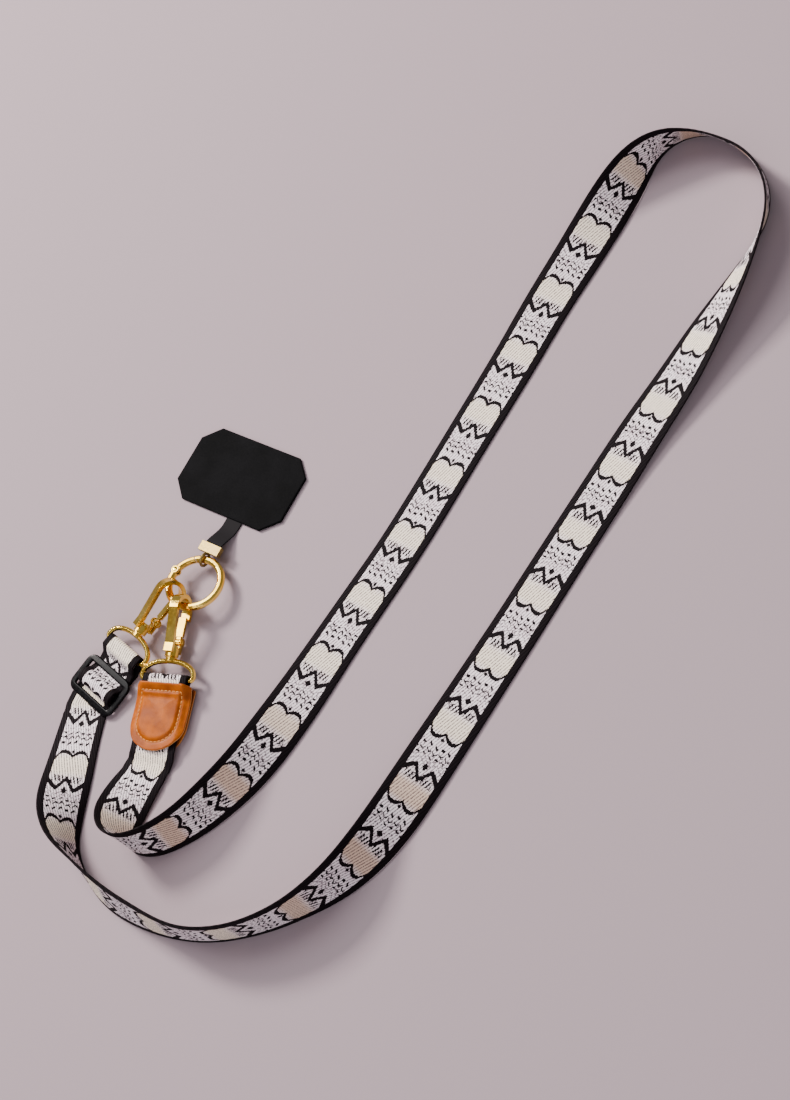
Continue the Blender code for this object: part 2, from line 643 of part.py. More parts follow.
def leather_layer(name, lower, upper):
    """A D-shaped leather layer between two height functions of the distance along and across."""
    origin, away, side = leg_frame("b")
    end = LEATHER_LENGTH
    bend = LEATHER_LENGTH - LEATHER_WIDTH * 0.46
    rows = list(np.linspace(0, bend, 8)) + [bend + (end - bend) * math.sin(t) for t in np.linspace(0.12, 1.47, 10)]
    sections = []
    for u in rows:
        half = leather_half(u)
        inner = min(half * 0.965, WEB_WIDTH / 2 + GAP * 1.5)
        across = [-half] + list(np.linspace(-inner, inner, 11)) + [half]
        base = origin * (1, 1, 0) + away * (LEATHER_FROM + u)
        top = [base + side * v + np.array((0, 0, upper(u, v))) for v in across]
        bottom = [base + side * v + np.array((0, 0, lower(u, v))) for v in across[::-1]]
        sections.append([tuple(p) for p in top + bottom])
    return loft(name, sections, "leather")


def build_leather():
    """The leather tab: a flat back layer and a front layer with a raised middle."""
    origin, _, _ = leg_frame("b")
    layer = WEB_THICK + GAP
    under = LEATHER_THICK + GAP + WEB_THICK / 2
    main, _, _ = leg_b_profile()
    stations = np.array(sorted(main))
    seat = WEB_THICK / 2 + GAP

    def front_low(u, v):
        height = np.interp(LEATHER_FROM + u, stations[:, 0], stations[:, 1])
        if abs(v) > WEB_WIDTH / 2 + 2.5 * GAP:
            return LEATHER_THICK + GAP
        return max(height, under + layer) + seat + GAP

    def front_high(u, v):
        room = min((LEATHER_WIDTH / 2 - abs(v)) / (0.27 * LEATHER_WIDTH), u / (0.24 * LEATHER_LENGTH),
                   (leather_half(u) - abs(v)) / (0.2 * LEATHER_WIDTH),
                   (LEATHER_LENGTH - u) / (0.24 * LEATHER_LENGTH))
        rise = max(0.0, min(1.0, room * 1.6 - 0.6))
        return front_low(u, v) + LEATHER_THICK + LEATHER_PAD * rise * rise * (3 - 2 * rise)

    leather_layer("leather_front", front_low, front_high)
    leather_layer("leather_back", lambda u, v: 0.0, lambda u, v: LEATHER_THICK)


def rounded_rectangle(low, high, radius, steps=5):
    """The outline of a rectangle with round corners."""
    centres = [((high[0] - radius, low[1] + radius), -90), ((high[0] - radius, high[1] - radius), 0),
               ((low[0] + radius, high[1] - radius), 90), ((low[0] + radius, low[1] + radius), 180)]
    points = []
    for centre, start in centres:
        points += arc(centre, radius, start, start + 90, steps)
    return points


def build_slider():
    """The strap adjuster: a flat frame with a middle bar and two slots."""
    origin, away, side = leg_frame("a")
    near, mid, far = slider_bars()
    near_z, far_z = slider_heights()
    inner = WEB_WIDTH / 2 + SLIDER_ROOM
    outer = inner + SLIDER_RAIL
    outline = rounded_rectangle((-outer, SLIDER_FROM), (outer, SLIDER_FROM + SLIDER_LENGTH), SLIDER_CORNER)
    slots = [rounded_rectangle((-inner, near + SLIDER_END_BAR / 2), (inner, mid - SLIDER_MID_BAR / 2), 0.5 * MM, 2),
             rounded_rectangle((-inner, mid + SLIDER_MID_BAR / 2), (inner, far - SLIDER_END_BAR / 2), 0.5 * MM, 2)]
    slider = plate("slider", [outline] + slots, SLIDER_THICK / 2, "plastic")
    slope = math.atan2(far_z - near_z, far - near)
    tip = Matrix.Translation((0, near, near_z)) @ Matrix.Rotation(slope, 4, "X") @ Matrix.Translation((0, -near, 0))
    turn = Matrix((side * -1, away, (0, 0, 1))).transposed().to_4x4()
    bake(slider, Matrix.Translation((origin[0], origin[1], 0)) @ turn @ tip)
    return slider


def tether_frame():
    """Where the tether's loop holds the ring, and the matrix of the tether (y towards the pad)."""
    seat = ring_point(TETHER_SEAT)
    return seat, Matrix.Translation((seat.x, seat.y, 0))


def build_tether():
    """The tether: clamp with a wire loop round the ring, a short strap, and the flat pad."""
    seat, place = tether_frame()
    loop_radius = RING_WIRE + GAP * 1.5 + CLAMP_WIRE
    clamp_from = loop_radius + CLAMP_WIRE * 0.4
    strap_z = seat.z
    half = TETHER_WIDTH / 2
    wall = CLAMP_WALL + GAP
    low = (-half - wall, clamp_from, strap_z - TETHER_THICK / 2 - wall)
    high = (half + wall, clamp_from + CLAMP_LENGTH, strap_z + TETHER_THICK / 2 + wall)
    clamp = box("tether_clamp", low, high, "steel")
    hollow_low = (-half - GAP, clamp_from + CLAMP_WALL, strap_z - TETHER_THICK / 2 - GAP)
    hollow_high = (half + GAP, clamp_from + CLAMP_LENGTH * 2, strap_z + TETHER_THICK / 2 + GAP)
    combine(clamp, box("hollow", hollow_low, hollow_high), "DIFFERENCE")
    turn = np.linspace(0, 2 * math.pi, 24, endpoint=False)
    loop_points = [(0, loop_radius * math.cos(t), strap_z + loop_radius * math.sin(t)) for t in turn]
    combine(clamp, curve_solid("loop", loop_points, CLAMP_WIRE, None, True, 2), "UNION")
    start = clamp_from + CLAMP_WALL + GAP
    end = start + TETHER_RUN
    low_z = TETHER_THICK / 2
    route = [(0, start, strap_z), (0, clamp_from + CLAMP_LENGTH, strap_z), (0, start + TETHER_RUN * 0.45, strap_z * 0.5 + low_z),
             (0, start + TETHER_RUN * 0.8, low_z), (0, end, low_z), (0, end + TETHER_LAP, low_z)]
    line = spaced_line(route, 1.6 * MM)
    line[:, 2] = np.maximum(line[:, 2], low_z)
    sections = []
    for i, point in enumerate(line):
        ahead = line[min(i + 1, len(line) - 1)] - line[max(i - 1, 0)]
        ahead /= np.linalg.norm(ahead)
        face = np.cross((1.0, 0, 0), ahead)
        sections.append([tuple(point + np.array((u, 0, 0)) + face * v) for u, v in strip_section(TETHER_WIDTH, TETHER_THICK)])
    strap = loft("tether_strap", sections, "tether_cloth")
    pad = build_pad(end)
    for item in (clamp, strap, pad):
        bake(item, place)
    smooth_shade(clamp)
    return clamp, strap, pad


def build_pad(edge):
    """The flat pad, an octagon with a recess below for the strap's sewn end."""
    left = PAD_SHIFT - PAD_LENGTH / 2
    right = PAD_SHIFT + PAD_LENGTH / 2
    cut = PAD_CORNER
    outline = [(left + cut, edge), (right - cut, edge), (right, edge + cut), (right, edge + PAD_WIDTH - cut),
               (right - cut, edge + PAD_WIDTH), (left + cut, edge + PAD_WIDTH), (left, edge + PAD_WIDTH - cut), (left, edge + cut)]
    pad = plate("tether_pad", [outline], PAD_THICK / 2, "pad_cloth")
    bake(pad, Matrix.Translation((0, 0, PAD_THICK / 2)))
    room = TETHER_WIDTH / 2 + GAP
    recess = box("recess", (-room, edge - PAD_CORNER, -PAD_THICK), (room, edge + TETHER_LAP + GAP, TETHER_THICK + GAP))
    return combine(pad, recess, "DIFFERENCE")


def centre_on_floor():
    """Hang everything on one empty whose move puts the box's bottom centre at the origin."""
    parts = list(bpy.data.collections["phone_strap"].objects)
    corners = np.array([v.co for item in parts for v in item.data.vertices])
    low, high = corners.min(axis=0), corners.max(axis=0)
    anchor = bpy.data.objects.new("strap_origin", None)
    bpy.context.scene.collection.objects.link(anchor)
    anchor.location = (-(low[0] + high[0]) / 2, -(low[1] + high[1]) / 2, -low[2])
    for item in parts:
        item.parent = anchor
    bpy.context.view_layer.update()


def main():
    clear_scene()
    build_webbing()
    build_leather()
    build_slider()
    for key in HOOKS:
        build_eye(key)
        build_hook(key)
    build_ring()
    build_tether()
    centre_on_floor()


main()
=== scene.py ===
"""Looks of the phone strap: woven webbing, leather tab, gold hooks and ring, adjuster and tether.

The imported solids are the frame. Soft pieces are rebuilt round them from the same named sizes.
"""

import logging
import math
from dataclasses import dataclass, field
from enum import Enum
from functools import partialmethod
from typing import Callable, Sequence

import bmesh
import bpy
import numpy as np
from mathutils import Matrix, Vector


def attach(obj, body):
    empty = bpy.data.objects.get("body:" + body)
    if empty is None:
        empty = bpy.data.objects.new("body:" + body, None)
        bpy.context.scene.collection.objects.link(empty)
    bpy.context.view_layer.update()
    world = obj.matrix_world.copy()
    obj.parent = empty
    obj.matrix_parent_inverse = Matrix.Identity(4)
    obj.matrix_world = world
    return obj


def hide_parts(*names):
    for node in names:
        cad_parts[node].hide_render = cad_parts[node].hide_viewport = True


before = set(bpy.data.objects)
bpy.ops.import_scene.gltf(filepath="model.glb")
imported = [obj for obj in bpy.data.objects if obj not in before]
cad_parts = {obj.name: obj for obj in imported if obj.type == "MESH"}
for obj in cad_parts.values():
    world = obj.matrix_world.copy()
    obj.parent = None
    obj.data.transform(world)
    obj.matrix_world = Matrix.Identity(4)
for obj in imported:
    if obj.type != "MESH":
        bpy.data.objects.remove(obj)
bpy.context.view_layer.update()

MM = 0.001
GAP = 0.3 * MM
LOG = logging.getLogger("phone_strap")
# Points of a plane figure, such as a route's distances and heights
Pairs = list[tuple[float, float]]

# The ring's centre, which the laid loop is measured from, in the row frame
RING_CENTRE = np.array((-64.63, -73.49, 0.03)) * MM
FLOOR = float(RING_CENTRE[2])
BODY = "strap"


class Face(Enum):
    """Which side of a flat part a point lies on."""

    UPPER = 1
    LOWER = -1


class Mixing(Enum):
    """How one colour is laid over another."""

    COVER = "MIX"
    DARKEN = "MULTIPLY"


# Colour and node helpers


def linear(code: str) -> tuple[float, float, float, float]:
    """Turn an sRGB hex value to a linear colour.

    Args:
        code: Six hex digits, such as "B5651D".

    Returns:
        Linear red, green, blue and alpha.
    """
    parts = [int(code[i:i + 2], 16) / 255 for i in (0, 2, 4)]
    red, green, blue = (c / 12.92 if c <= 0.04045 else ((c + 0.055) / 1.055) ** 2.4 for c in parts)
    return red, green, blue, 1.0


def fill(tree: bpy.types.NodeTree, socket: bpy.types.NodeSocket, value: object) -> None:
    """Link a socket to what nodes work out, or set a plain value on it.

    Args:
        tree: The node tree.
        socket: The socket to fill.
        value: A Value, a number or a colour.
    """
    if isinstance(value, Value):
        tree.links.new(value.socket, socket)
    else:
        socket.default_value = value


def add(tree: bpy.types.NodeTree, kind: str, inputs: dict | None = None, **settings) -> bpy.types.Node:
    """Add a node with its settings, values and links.

    Args:
        tree: The material's node tree.
        kind: The node type without its "ShaderNode" prefix.
        inputs: What fills each input, by its name or number.
        **settings: The node's own properties.

    Returns:
        The new node.
    """
    node = tree.nodes.new("ShaderNode" + kind)
    for name, value in settings.items():
        setattr(node, name, value)
    for name, value in (inputs or {}).items():
        fill(tree, node.inputs[name], value)
    return node


class Value:
    """A number, colour or normal that nodes work out, with Python's own signs for its arithmetic."""

    def __init__(self, recipe: "Recipe", socket: bpy.types.NodeSocket) -> None:
        """Wrap an output of a material under construction."""
        self.recipe, self.socket = recipe, socket

    def apply(self, operation: str, *others: object) -> "Value":
        """Put this value, and others after it, through a Math node."""
        return self.recipe.math(operation, self, *others)

    def __rsub__(self, number: object) -> "Value":
        """Take this value from a plain number."""
        return self.recipe.math("SUBTRACT", number, self)

    __add__ = partialmethod(apply, "ADD")
    __sub__ = partialmethod(apply, "SUBTRACT")
    __mul__ = partialmethod(apply, "MULTIPLY")
    __truediv__ = partialmethod(apply, "DIVIDE")
    __lt__ = partialmethod(apply, "LESS_THAN")
    __gt__ = partialmethod(apply, "GREATER_THAN")
    __abs__ = partialmethod(apply, "ABSOLUTE")
    # Marks are 0 or 1, so the larger of two shows where either lies
    __or__ = partialmethod(apply, "MAXIMUM")


class Recipe:
    """A material under construction, with short ways to write its sums."""

    def __init__(self, name: str) -> None:
        """Start a material with the finish's plain name."""
        self.material = bpy.data.materials.new(name)
        self.material.use_nodes = True
        self.tree = self.material.node_tree
        self.shader = self.tree.nodes["Principled BSDF"]

    def add(self, kind: str, inputs: dict | None = None, output: int | str = 0, **settings) -> Value:
        """Add a node to this material and read one of its outputs."""
        return Value(self, add(self.tree, kind, inputs, **settings).outputs[output])

    def math(self, operation: str, *values: object) -> Value:
        """Put values through a Math node in their order."""
        return self.add("Math", dict(enumerate(values)), operation=operation)

    def strip(self) -> tuple[Value, Value, Value]:
        """The place on a lofted strip: both coordinates, then mm across and mm along it."""
        uv = self.add("UVMap", uv_map="strip")
        return uv, self.add("SeparateXYZ", {0: uv}), self.add("SeparateXYZ", {0: uv}, 1)

    def mix(self, share: object, under: object, over: object, how: Mixing = Mixing.COVER) -> Value:
        """Lay a share of one colour over another."""
        inputs = {0: share, 6: under, 7: over}
        return self.add("Mix", inputs, 2, data_type="RGBA", blend_type=how.value)

    def ramp(self, value: object, low: float, high: float, start: float = 0.0, end: float = 1.0) -> Value:
        """Map a value smoothly: low becomes start and high becomes end."""
        inputs = {0: value, 1: low, 2: high, 3: start, 4: end}
        return self.add("MapRange", inputs, interpolation_type="SMOOTHSTEP")

    def wave(self, place: Value, pitch: float) -> Value:
        """A sine over a place, from -1 to 1."""
        return (place * (2 * math.pi / pitch)).apply("SINE")

    def noise(self, size: float, detail: float = 2.0, where: Value | None = None) -> Value:
        """Soft noise with cells of a size, on the object's own coordinates or on given ones."""
        place = where or self.add("TexCoord", output="Object")
        return self.add("TexNoise", {"Vector": place, "Scale": 1 / size, "Detail": detail}, "Fac")

    def bump(self, height: Value, depth: float, under: Value | None = None) -> Value:
        """A relief of a depth in metres, laid on another normal where one is given."""
        inputs = {"Height": height, "Distance": depth, "Strength": 1.0}
        return self.add("Bump", inputs | ({"Normal": under} if under else {}))

    def soften(self, radius: float) -> Value:
        """The normal of an edge rounded by polishing or moulding."""
        return self.add("Bevel", {"Radius": radius}, samples=6)

    def set(self, **sockets) -> bpy.types.Material:
        """Fill the shader's sockets, named with underscores for spaces, and give the material."""
        for name, value in sockets.items():
            fill(self.tree, self.shader.inputs[name.replace("_", " ")], value)
        return self.material


# Finishes


@dataclass(frozen=True)
class PaleGold:
    """Zinc alloy, die cast, tumbled and plated pale gold: bright, with a faint ripple in its reflections."""

    name: str = "zinc_die_cast_plated_pale_gold"
    colour: str = "FBD86A"
    shade: str = "EDBE46"
    cloud: float = 7 * MM
    grain: float = 0.9 * MM
    ripple: float = 2.6 * MM
    ripple_depth: float = 0.012 * MM
    edge: float = 0.22 * MM

    def make(self) -> bpy.types.Material:
        """Build the plated metal."""
        mat = Recipe(self.name)
        tone = mat.mix(mat.ramp(mat.noise(self.cloud), 0.35, 0.7), linear(self.shade), linear(self.colour))
        rough = mat.ramp(mat.noise(self.grain, 4), 0.3, 0.75, 0.08, 0.19)
        relief = mat.bump(mat.noise(self.ripple, 1), self.ripple_depth, mat.soften(self.edge))
        return mat.set(Base_Color=tone, Metallic=1.0, Roughness=rough, Normal=relief)


@dataclass(frozen=True)
class ClampSteel:
    """Steel strip, stamped and plated: a paler, slightly brushed metal."""

    name: str = "steel_stamped_brushed"
    colour: str = "8E7A48"
    grain: float = 0.5 * MM
    edge: float = 0.15 * MM

    def make(self) -> bpy.types.Material:
        """Build the clamp's metal."""
        mat = Recipe(self.name)
        rough = mat.ramp(mat.noise(self.grain, 3), 0.3, 0.7, 0.34, 0.48)
        edge = mat.soften(self.edge)
        return mat.set(Base_Color=linear(self.colour), Metallic=1.0, Roughness=rough, Normal=edge)


@dataclass(frozen=True)
class BlackAcetal:
    """Acetal, injection moulded in black: a fairly glossy skin with a faint moulding ripple."""

    name: str = "acetal_moulded_gloss_black"
    colour: str = "050406"
    grain: float = 1.4 * MM
    ripple: float = 0.8 * MM
    ripple_depth: float = 0.006 * MM

    def make(self) -> bpy.types.Material:
        """Build the adjuster's plastic."""
        mat = Recipe(self.name)
        rough = mat.ramp(mat.noise(self.grain, 3), 0.3, 0.7, 0.2, 0.3)
        relief = mat.bump(mat.noise(self.ripple, 2), self.ripple_depth)
        return mat.set(Base_Color=linear(self.colour), Roughness=rough, Normal=relief, IOR=1.48,
                       Specular_IOR_Level=0.1)


@dataclass(frozen=True)
class TanLeather:
    """Cow leather, chrome tanned and glazed cognac: fine pores, cloudy dye and darker pressed edges."""

    name: str = "leather_glazed_cognac"
    light: str = "B85C00"
    dark: str = "904200"
    fold: str = "662C00"
    cloud: float = 6 * MM
    pore: float = 0.42 * MM
    pore_depth: float = 0.025 * MM
    dent: float = 2.5 * MM
    dent_depth: float = 0.04 * MM
    polish: float = 1.1 * MM

    def make(self) -> bpy.types.Material:
        """Build the leather's grain side."""
        mat = Recipe(self.name)
        place = mat.add("TexCoord", output="Object")
        clouds = mat.ramp(mat.noise(self.cloud, 4, place), 0.3, 0.72)
        tone = mat.mix(clouds, linear(self.dark), linear(self.light))
        pores = {"Vector": place, "Scale": 1 / self.pore}
        crease = mat.ramp(mat.add("TexVoronoi", pores, "Distance", feature="DISTANCE_TO_EDGE"), 0.0, 0.16)
        tone = mat.mix(mat.ramp(crease, 0.0, 1.0, 0.3, 0.0), tone, linear(self.fold))
        rough = mat.ramp(mat.noise(self.polish, 3, place), 0.3, 0.75, 0.3, 0.42)
        relief = mat.bump(crease, self.pore_depth)
        relief = mat.bump(mat.noise(self.dent, 2, place), self.dent_depth, relief)
        return mat.set(Base_Color=tone, Roughness=rough, Normal=relief, Specular_IOR_Level=0.14)


@dataclass(frozen=True)
class CutLeather:
    """The leather's cut edge, burnished: paler and fibrous."""

    name: str = "leather_cut_edge_burnished"
    pale: str = "D9974F"
    deep: str = "B8712E"
    fibre: float = 0.35 * MM
    fibre_depth: float = 0.04 * MM

    def make(self) -> bpy.types.Material:
        """Build the cut edge."""
        mat = Recipe(self.name)
        fibre = mat.noise(self.fibre, 4)
        tone = mat.mix(mat.ramp(fibre, 0.3, 0.7), linear(self.deep), linear(self.pale))
        return mat.set(Base_Color=tone, Roughness=0.7, Normal=mat.bump(fibre, self.fibre_depth))


@dataclass(frozen=True)
class TanThread:
    """Bonded polyester thread, twisted: a soft sheen and a slant from the twist."""

    name: str = "thread_twisted_amber"
    pale: str = "E3A556"
    deep: str = "C27A2C"
    twist: float = 1.6 * MM
    twist_depth: float = 0.03 * MM

    def make(self) -> bpy.types.Material:
        """Build the stitching thread."""
        mat = Recipe(self.name)
        place = {"Vector": mat.add("TexCoord", output="Object"), "Scale": 1 / self.twist}
        twist = mat.add("TexWave", place, "Fac", bands_direction="DIAGONAL")
        tone = mat.mix(twist, linear(self.deep), linear(self.pale))
        return mat.set(Base_Color=tone, Roughness=0.55, Normal=mat.bump(twist, self.twist_depth))


@dataclass(frozen=True)
class WebbingWeave:
    """Polyester yarn, woven on a jacquard loom: a geometric band between two black borders.

    All lengths are in mm: x runs from the webbing's middle to its borders, y along each repeat.
    """

    name: str = "polyester_jacquard_woven_band"
    repeat: float = 33.0
    start: float = 7.0
    cusp: float = 4.0
    field: float = 7.6
    thread: float = 0.42
    # Yarns lie nearly along the webbing, coarser than the real 0.35 mm ones, too fine to show from here
    twill: float = 1.25
    slope: float = 0.32
    grain: float = 1 / 1.7
    cloud: float = 6.25
    # The scallop line: two arches that meet in a cusp and drop at the borders
    arch: float = 4.0
    arch_bend: float = 0.15
    arch_height: float = 2.3
    drop: float = 6.0
    scallop_width: float = 1.85
    # The zigzag: a middle peak, two low points under the arches and a rise to the borders
    low_point: float = 3.9
    zigzag: float = 16.6
    peak_slope: float = 1.43
    border_slope: float = 0.9
    zigzag_width: float = 2.75
    # The cream panels take a painted shade, a blush tint, and lose it again, counted in repeats from the
    # adjuster's tail
    painted_shade_first: float = 9.0
    painted_shade_every: float = 11.7
    white: str = "FFF4F8"
    dull: str = "EFE0E6"
    cream: str = "FFF1DC"
    # Painted shade: the blush tint that some cream panels take
    painted_shade_tint: str = "D3AE98"
    ink: str = "090407"
    # Painted highlight: the paler colour of the black yarn's crests
    ink_crest_highlight: str = "1A0F15"
    grey: str = "4A3842"
    # Knots: centre along the repeat from the cusp, and half width
    knots: tuple[tuple[float, float], ...] = ((17.0, 1.5), (-2.5, 0.95))
    # Thin broken lines: place from the cusp, width, and the share of each pitch that shows
    broken: tuple[tuple[float, float, float], ...] = ((18.8, 0.6, 0.62), (20.8, 0.6, 0.5), (22.4, 0.5, 0.45))
    # Rows of dashes: place from the cusp, tooth height, share that shows, start in pitches and width
    rows: tuple[tuple[float, float, float, float, float], ...] = (
        (21.6, 0.3, 0.6, 0.1, 0.75), (23.9, 0.9, 0.8, 0.45, 0.95), (26.6, 0.5, 0.62, 0.2, 1.25))

    def line(self, along: Value, middle: object, width: float) -> Value:
        """1 on a line of one width that follows a course, 0 off it."""
        return abs(along - middle) < width / 2

    def band(self, value: Value, low: object, high: object) -> Value:
        """1 between two values, 0 outside them."""
        return (value > low) * (value < high)

    def dashes(self, place: Value, pitch: float, share: float, start: float) -> Value:
        """1 for a share of each pitch, counted from a start in pitches, 0 elsewhere."""
        return (place / pitch + start).apply("FRACT") < share

    def draw(self, u: Value, y: Value, scallop: Value, zigzag: Value) -> tuple[Value, Value]:
        """The black drawing and the faint one.

        Args:
            u: Place across, signed.
            y: Place along the repeat.
            scallop: Course of the scallop line.
            zigzag: Course of the zigzag.

        Returns:
            Both as marks, 1 where they lie.
        """
        x = abs(u)
        marks = self.line(y, scallop, self.scallop_width) | self.line(y, zigzag, self.zigzag_width)
        # Upright dashes that stand over the zigzag's low points, slanted like the twill
        lean = u + (y - (self.cusp + 11.6)) * self.slope
        upright = self.dashes(lean, 1.68, 0.5, 0.28) * self.band(y, self.cusp + 9.6, self.cusp + 13.0)
        marks = marks | upright * self.band(x, 1.3, 6.7)
        for centre, size in self.knots:
            away = abs(y - (self.cusp + centre)) * 0.8
            marks = marks | (x + away < size)
        # Broken lines and rows of dashes in the open field, bent like the zigzag
        bend = abs(x - self.arch)
        bent = y + bend * 0.75
        broken = [self.line(bent, self.cusp + row + 1.2, width) * self.dashes(lean, 1.26, share, row)
                  for row, width, share in self.broken]
        teeth = (u + 40.0).apply("PINGPONG", 1.47)
        for row, tooth, share, start, width in self.rows:
            waved = y + (bend * 0.3 + teeth * tooth)
            course = self.line(waved, self.cusp + row + 0.6 + tooth * 0.7, width)
            marks = marks | course * self.dashes(u, 2.94, share, start)
        return marks, broken[0] | broken[1] | broken[2]

    def make(self) -> bpy.types.Material:
        """Build the woven band."""
        mat = Recipe(self.name)
        uv, across, along = mat.strip()
        u = (across + self.thread / 2).apply("SNAP", self.thread)
        cycle = (along.apply("SNAP", self.thread) + self.start) / self.repeat
        x, y = abs(u), cycle.apply("FRACT") * self.repeat
        dip = x - self.arch
        fall = (x - self.drop).apply("MAXIMUM", 0.0)
        scallop = dip * dip * self.arch_bend + fall * self.border_slope + (self.cusp - self.arch_height)
        inner = (self.low_point - x).apply("MAXIMUM", 0.0)
        outer = (x - self.low_point).apply("MAXIMUM", 0.0)
        zigzag = self.cusp + self.zigzag - (inner * self.peak_slope + outer * self.border_slope)
        marks, faint = self.draw(u, y, scallop, zigzag)
        # Ground colours: cream between scallop and zigzag, now and then blush as painted shade, white
        # elsewhere
        count = cycle.apply("FLOOR") - self.painted_shade_first
        painted_shade_wave = (count * (2 * math.pi / self.painted_shade_every)).apply("COSINE")
        # dye: the cream panel's own colour, turned blush by painted shade in some repeats
        dye = mat.mix(mat.ramp(painted_shade_wave, 0.45, 1.0, 0.0, 0.8), linear(self.cream), linear(self.painted_shade_tint))
        clouds = mat.ramp(mat.noise(self.cloud, 2, uv), 0.3, 0.75)
        ground = mat.mix(clouds, linear(self.white), linear(self.dull))
        glow = mat.ramp(abs(y - (self.cusp + 4.5)), 2.5, 7.0, 1.0, 0.1)
        ground = mat.mix(self.band(y, scallop, zigzag - 1.0) * glow, ground, dye)
        # Twill: the shade between yarns, and flecks of the ink yarn that show there
        wave = mat.wave(across + along * self.slope, self.twill)
        yarn = mat.ramp(wave, -1.0, 1.0)
        fleck = (wave < -0.3) * (mat.noise(self.grain, 3, uv) > 0.47)
        shade = mat.ramp(yarn, 0.0, 0.5, 0.8, 1.0)
        ground = mat.mix(1.0, ground, mat.add("CombineColor", {0: shade, 1: shade, 2: shade}), Mixing.DARKEN)
        ground = mat.mix(fleck * 0.78, ground, linear(self.grey))
        ground = mat.mix(faint * 0.85, ground, linear(self.grey))
        # The black yarn is painted paler on the twill's crests: a painted highlight
        ink = mat.mix(mat.ramp(wave, 0.2, 1.0, 0.0, 0.5), linear(self.ink), linear(self.ink_crest_highlight))
        border = x > self.field
        tone = mat.mix(border, mat.mix(marks, ground, ink), ink)
        # Relief: yarns, the ribbed border and the marks that float a little proud
        rib = mat.ramp(mat.wave(along, 0.7), -1.0, 1.0)
        height = mat.add("Mix", {0: border, 2: yarn, 3: rib}) * 0.6 + marks * 0.4
        rough = mat.ramp(yarn, 0.0, 1.0, 0.86, 0.68)
        relief = mat.bump(height, 0.07 * MM)
        return mat.set(Base_Color=tone, Roughness=rough, Normal=relief, Specular_IOR_Level=0.1)


@dataclass(frozen=True)
class BlackTape:
    """Nylon tape, plain woven black: fine ribs across it."""

    name: str = "nylon_tape_woven_black"
    pale: str = "1B161A"
    deep: str = "080608"
    # Pitch of the yarns across and along, in mm
    across_pitch: float = 0.8
    along_pitch: float = 0.55

    def make(self) -> bpy.types.Material:
        """Build the tether's tape."""
        mat = Recipe(self.name)
        _, across, along = mat.strip()
        warp = mat.ramp(mat.wave(across, self.across_pitch), -1, 1)
        weave = warp * mat.ramp(mat.wave(along, self.along_pitch), -1, 1)
        tone = mat.mix(weave, linear(self.deep), linear(self.pale))
        relief = mat.bump(weave, 0.06 * MM)
        return mat.set(Base_Color=tone, Roughness=0.8, Normal=relief, Specular_IOR_Level=0.2)


@dataclass(frozen=True)
class PadCloth:
    """Microfibre laminate, calendered black: an even, nearly matt skin with fine tooth."""

    name: str = "microfibre_laminate_black"
    pale: str = "0A0A0C"
    deep: str = "040405"
    tooth: float = 0.5 * MM
    tooth_depth: float = 0.03 * MM
    cloud: float = 18 * MM

    def make(self) -> bpy.types.Material:
        """Build the pad's skin."""
        mat = Recipe(self.name)
        tooth = mat.noise(self.tooth, 5)
        tone = mat.mix(mat.ramp(mat.noise(self.cloud, 2), 0.3, 0.7), linear(self.deep), linear(self.pale))
        rough = mat.ramp(tooth, 0.3, 0.7, 0.78, 0.9)
        relief = mat.bump(tooth, self.tooth_depth)
        return mat.set(Base_Color=tone, Roughness=rough, Normal=relief, Specular_IOR_Level=0.08)


@dataclass(frozen=True)
class StudioPaper:
    """Background paper, matt and pale, with no grain that shows."""

    name: str = "paper_matt_pale_mauve"
    colour: str = "A29298"

    def make(self) -> bpy.types.Material:
        """Build the floor's paper."""
        return Recipe(self.name).set(Base_Color=linear(self.colour), Roughness=0.9, Specular_IOR_Level=0.1)


# Shape helpers


def natural_spline(values: np.ndarray, knots: np.ndarray, where: np.ndarray) -> np.ndarray:
    """A natural cubic spline.

    Args:
        values: Points, one row for each knot.
        knots: The distance at each point.
        where: The distances to read.

    Returns:
        One row for each distance.
    """
    step = np.diff(knots)
    count = len(knots)
    system = np.eye(count)
    right = np.zeros_like(values)
    for i in range(1, count - 1):
        system[i, i - 1:i + 2] = step[i - 1], 2 * (step[i - 1] + step[i]), step[i]
        right[i] = 6 * ((values[i + 1] - values[i]) / step[i] - (values[i] - values[i - 1]) / step[i - 1])
    bend = np.linalg.solve(system, right)
    spot = np.clip(np.searchsorted(knots, where) - 1, 0, count - 2)
    h = step[spot][:, None]
    a = (knots[spot + 1] - where)[:, None] / h
    b = 1 - a
    curve = ((a ** 3 - a) * bend[spot] + (b ** 3 - b) * bend[spot + 1]) * h ** 2 / 6
    return a * values[spot] + b * values[spot + 1] + curve


def distances(points: np.ndarray) -> np.ndarray:
    """The distance walked along a line at each of its points."""
    return np.concatenate([[0.0], np.cumsum(np.linalg.norm(np.diff(points, axis=0), axis=1))])


def read(where: np.ndarray, knots: np.ndarray, rows: np.ndarray) -> np.ndarray:
    """Rows read between knots in straight steps, column by column."""
    return np.column_stack([np.interp(where, knots, column) for column in rows.T])


def unit(vectors: np.ndarray) -> np.ndarray:
    """A vector, or each row of several, at length 1."""
    return vectors / np.linalg.norm(vectors, axis=-1, keepdims=True)


def smooth_rows(values: np.ndarray) -> np.ndarray:
    """The inner rows, each averaged with its neighbours."""
    return (values[:-2] + 2 * values[1:-1] + values[2:]) / 4


def arc(centre: Sequence[float], radius: float, start: float, end: float, steps: int) -> Pairs:
    """Points of an arc from one angle in degrees to another, ends included."""
    angles = np.radians(np.linspace(start, end, steps))
    return [(centre[0] + radius * math.cos(t), centre[1] + radius * math.sin(t)) for t in angles]


def smoothstep(value: float) -> float:
    """Ease from 0 to 1, flat outside them."""
    share = min(max(value, 0.0), 1.0)
    return share * share * (3 - 2 * share)


